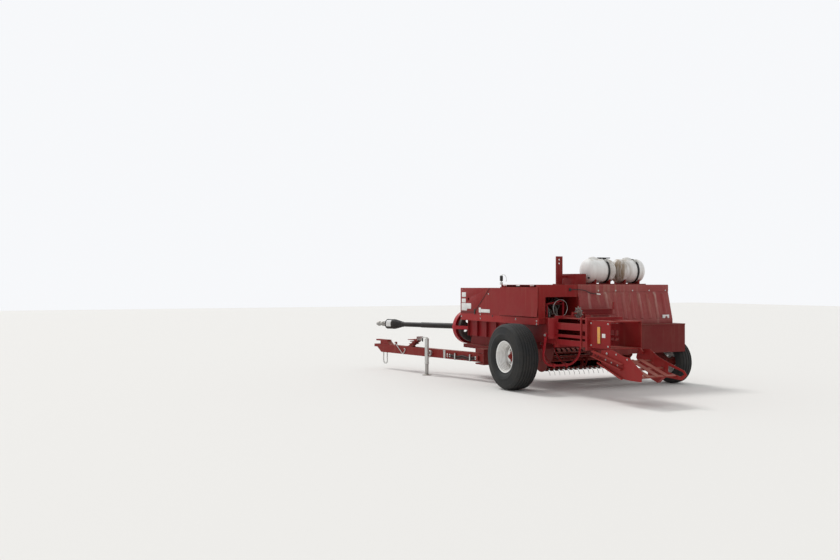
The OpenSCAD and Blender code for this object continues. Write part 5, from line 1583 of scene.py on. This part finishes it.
jack = {
    "at": 1.300, "side": 0.1503, "tube": 0.036, "leg": 0.0297, "low": -0.180, "height": 0.430, "boss": 0.046,
    "pin": 0.0201, "foot": 0.080, "crank": 0.130,
}


def onJack(along, side=0.0, up=0.0):
    return onTongue(jack["at"] + along, jack["side"] + side, up)


def makeJack():
    j = jack
    r, low, boss, sole = j["tube"], j["low"], j["boss"], j["foot"]
    top = low + j["height"]
    ground = -tongue["z"]
    shell = [(r - 0.006, low), (r - 0.001, low), (r + 0.003, low + 0.003), (r + 0.003, low + 0.020),
             (r, low + 0.023), (r, top - 0.026), (r + 0.002, top - 0.024), (r + 0.002, top - 0.004),
             (r - 0.002, top), (0.0, top), (0.0, top - 0.006), (r - 0.006, top - 0.010)]
    parts = [spun(shell, onJack(0), axis=(0, 0, 1), steps=48)]
    sleeve = [(j["pin"], -r - 0.048), (boss - 0.002, -r - 0.048), (boss, -r - 0.046), (boss, -r - 0.014),
              (boss - 0.004, -r - 0.010), (boss - 0.006, -0.010), (0.0, -0.010), (0.0, -r - 0.008),
              (j["pin"], -r - 0.008)]
    parts.append(spun(sleeve, onJack(0), tongueSide, 48))
    outer = finishPiece(parts, "jackTube", "jack", "bare_steel", zincSteel, 40)
    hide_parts("jack")
    leg = [rod(onJack(0, 0, ground + 0.006), onJack(0, 0, 0.045), j["leg"], 40, 0.001)]
    foot = [(0.0, 0.0), (sole - 0.004, 0.0), (sole, 0.003), (sole - 0.001, 0.007), (sole - 0.008, 0.0085),
            (j["leg"] + 0.006, 0.0085), (j["leg"] + 0.0005, 0.014), (0.0, 0.014)]
    leg.append(spun([(wide, ground + up) for wide, up in foot], onJack(0), axis=(0, 0, 1), steps=64))
    finishPiece(leg, "jackLeg", "jack", "bare_steel", smooth=40)
    reach = j["crank"] - 0.009
    bends = ((-0.004, 0.016), (0.05, 0.016), (j["crank"] - 0.022, 0.016), (reach, 0.012), (reach, -0.003),
             (reach, -0.050))
    crank = [rod(onJack(0, 0, top - 0.002), onJack(0, 0, top + 0.020), 0.0135, 24),
             tube([onJack(along, 0, top + up) for along, up in bends], 0.0075, 12, 6)]
    turns = [math.tau * i / 24 for i in range(25)]
    ring = [onJack(math.cos(a) * 0.017, -0.058, math.sin(a) * 0.017 - 0.062) for a in turns]
    crank.append(tube(ring, 0.0022, 8, 1, False))
    finishPiece(crank, "jackCrank", "jack", "zinc_steel", smooth=50)
    grip = [(0.0080, 0.0), (0.0105, 0.002), (0.0115, 0.012), (0.0105, 0.030), (0.0115, 0.048),
            (0.0105, 0.056), (0.0, 0.057)]
    grip = spun(grip, onJack(reach, 0, top - 0.004), axis=(0, 0, -1), steps=32)
    finishPiece(grip, "jackGrip", "jack", "black_plastic")


makeJack()
print("jack is made")

for name, node in nodes.items():
    node.data.materials.clear()
    node.data.materials.append(ownFinish.get(name, finishOf[slotOf[name]]))
print("the other nodes are painted")
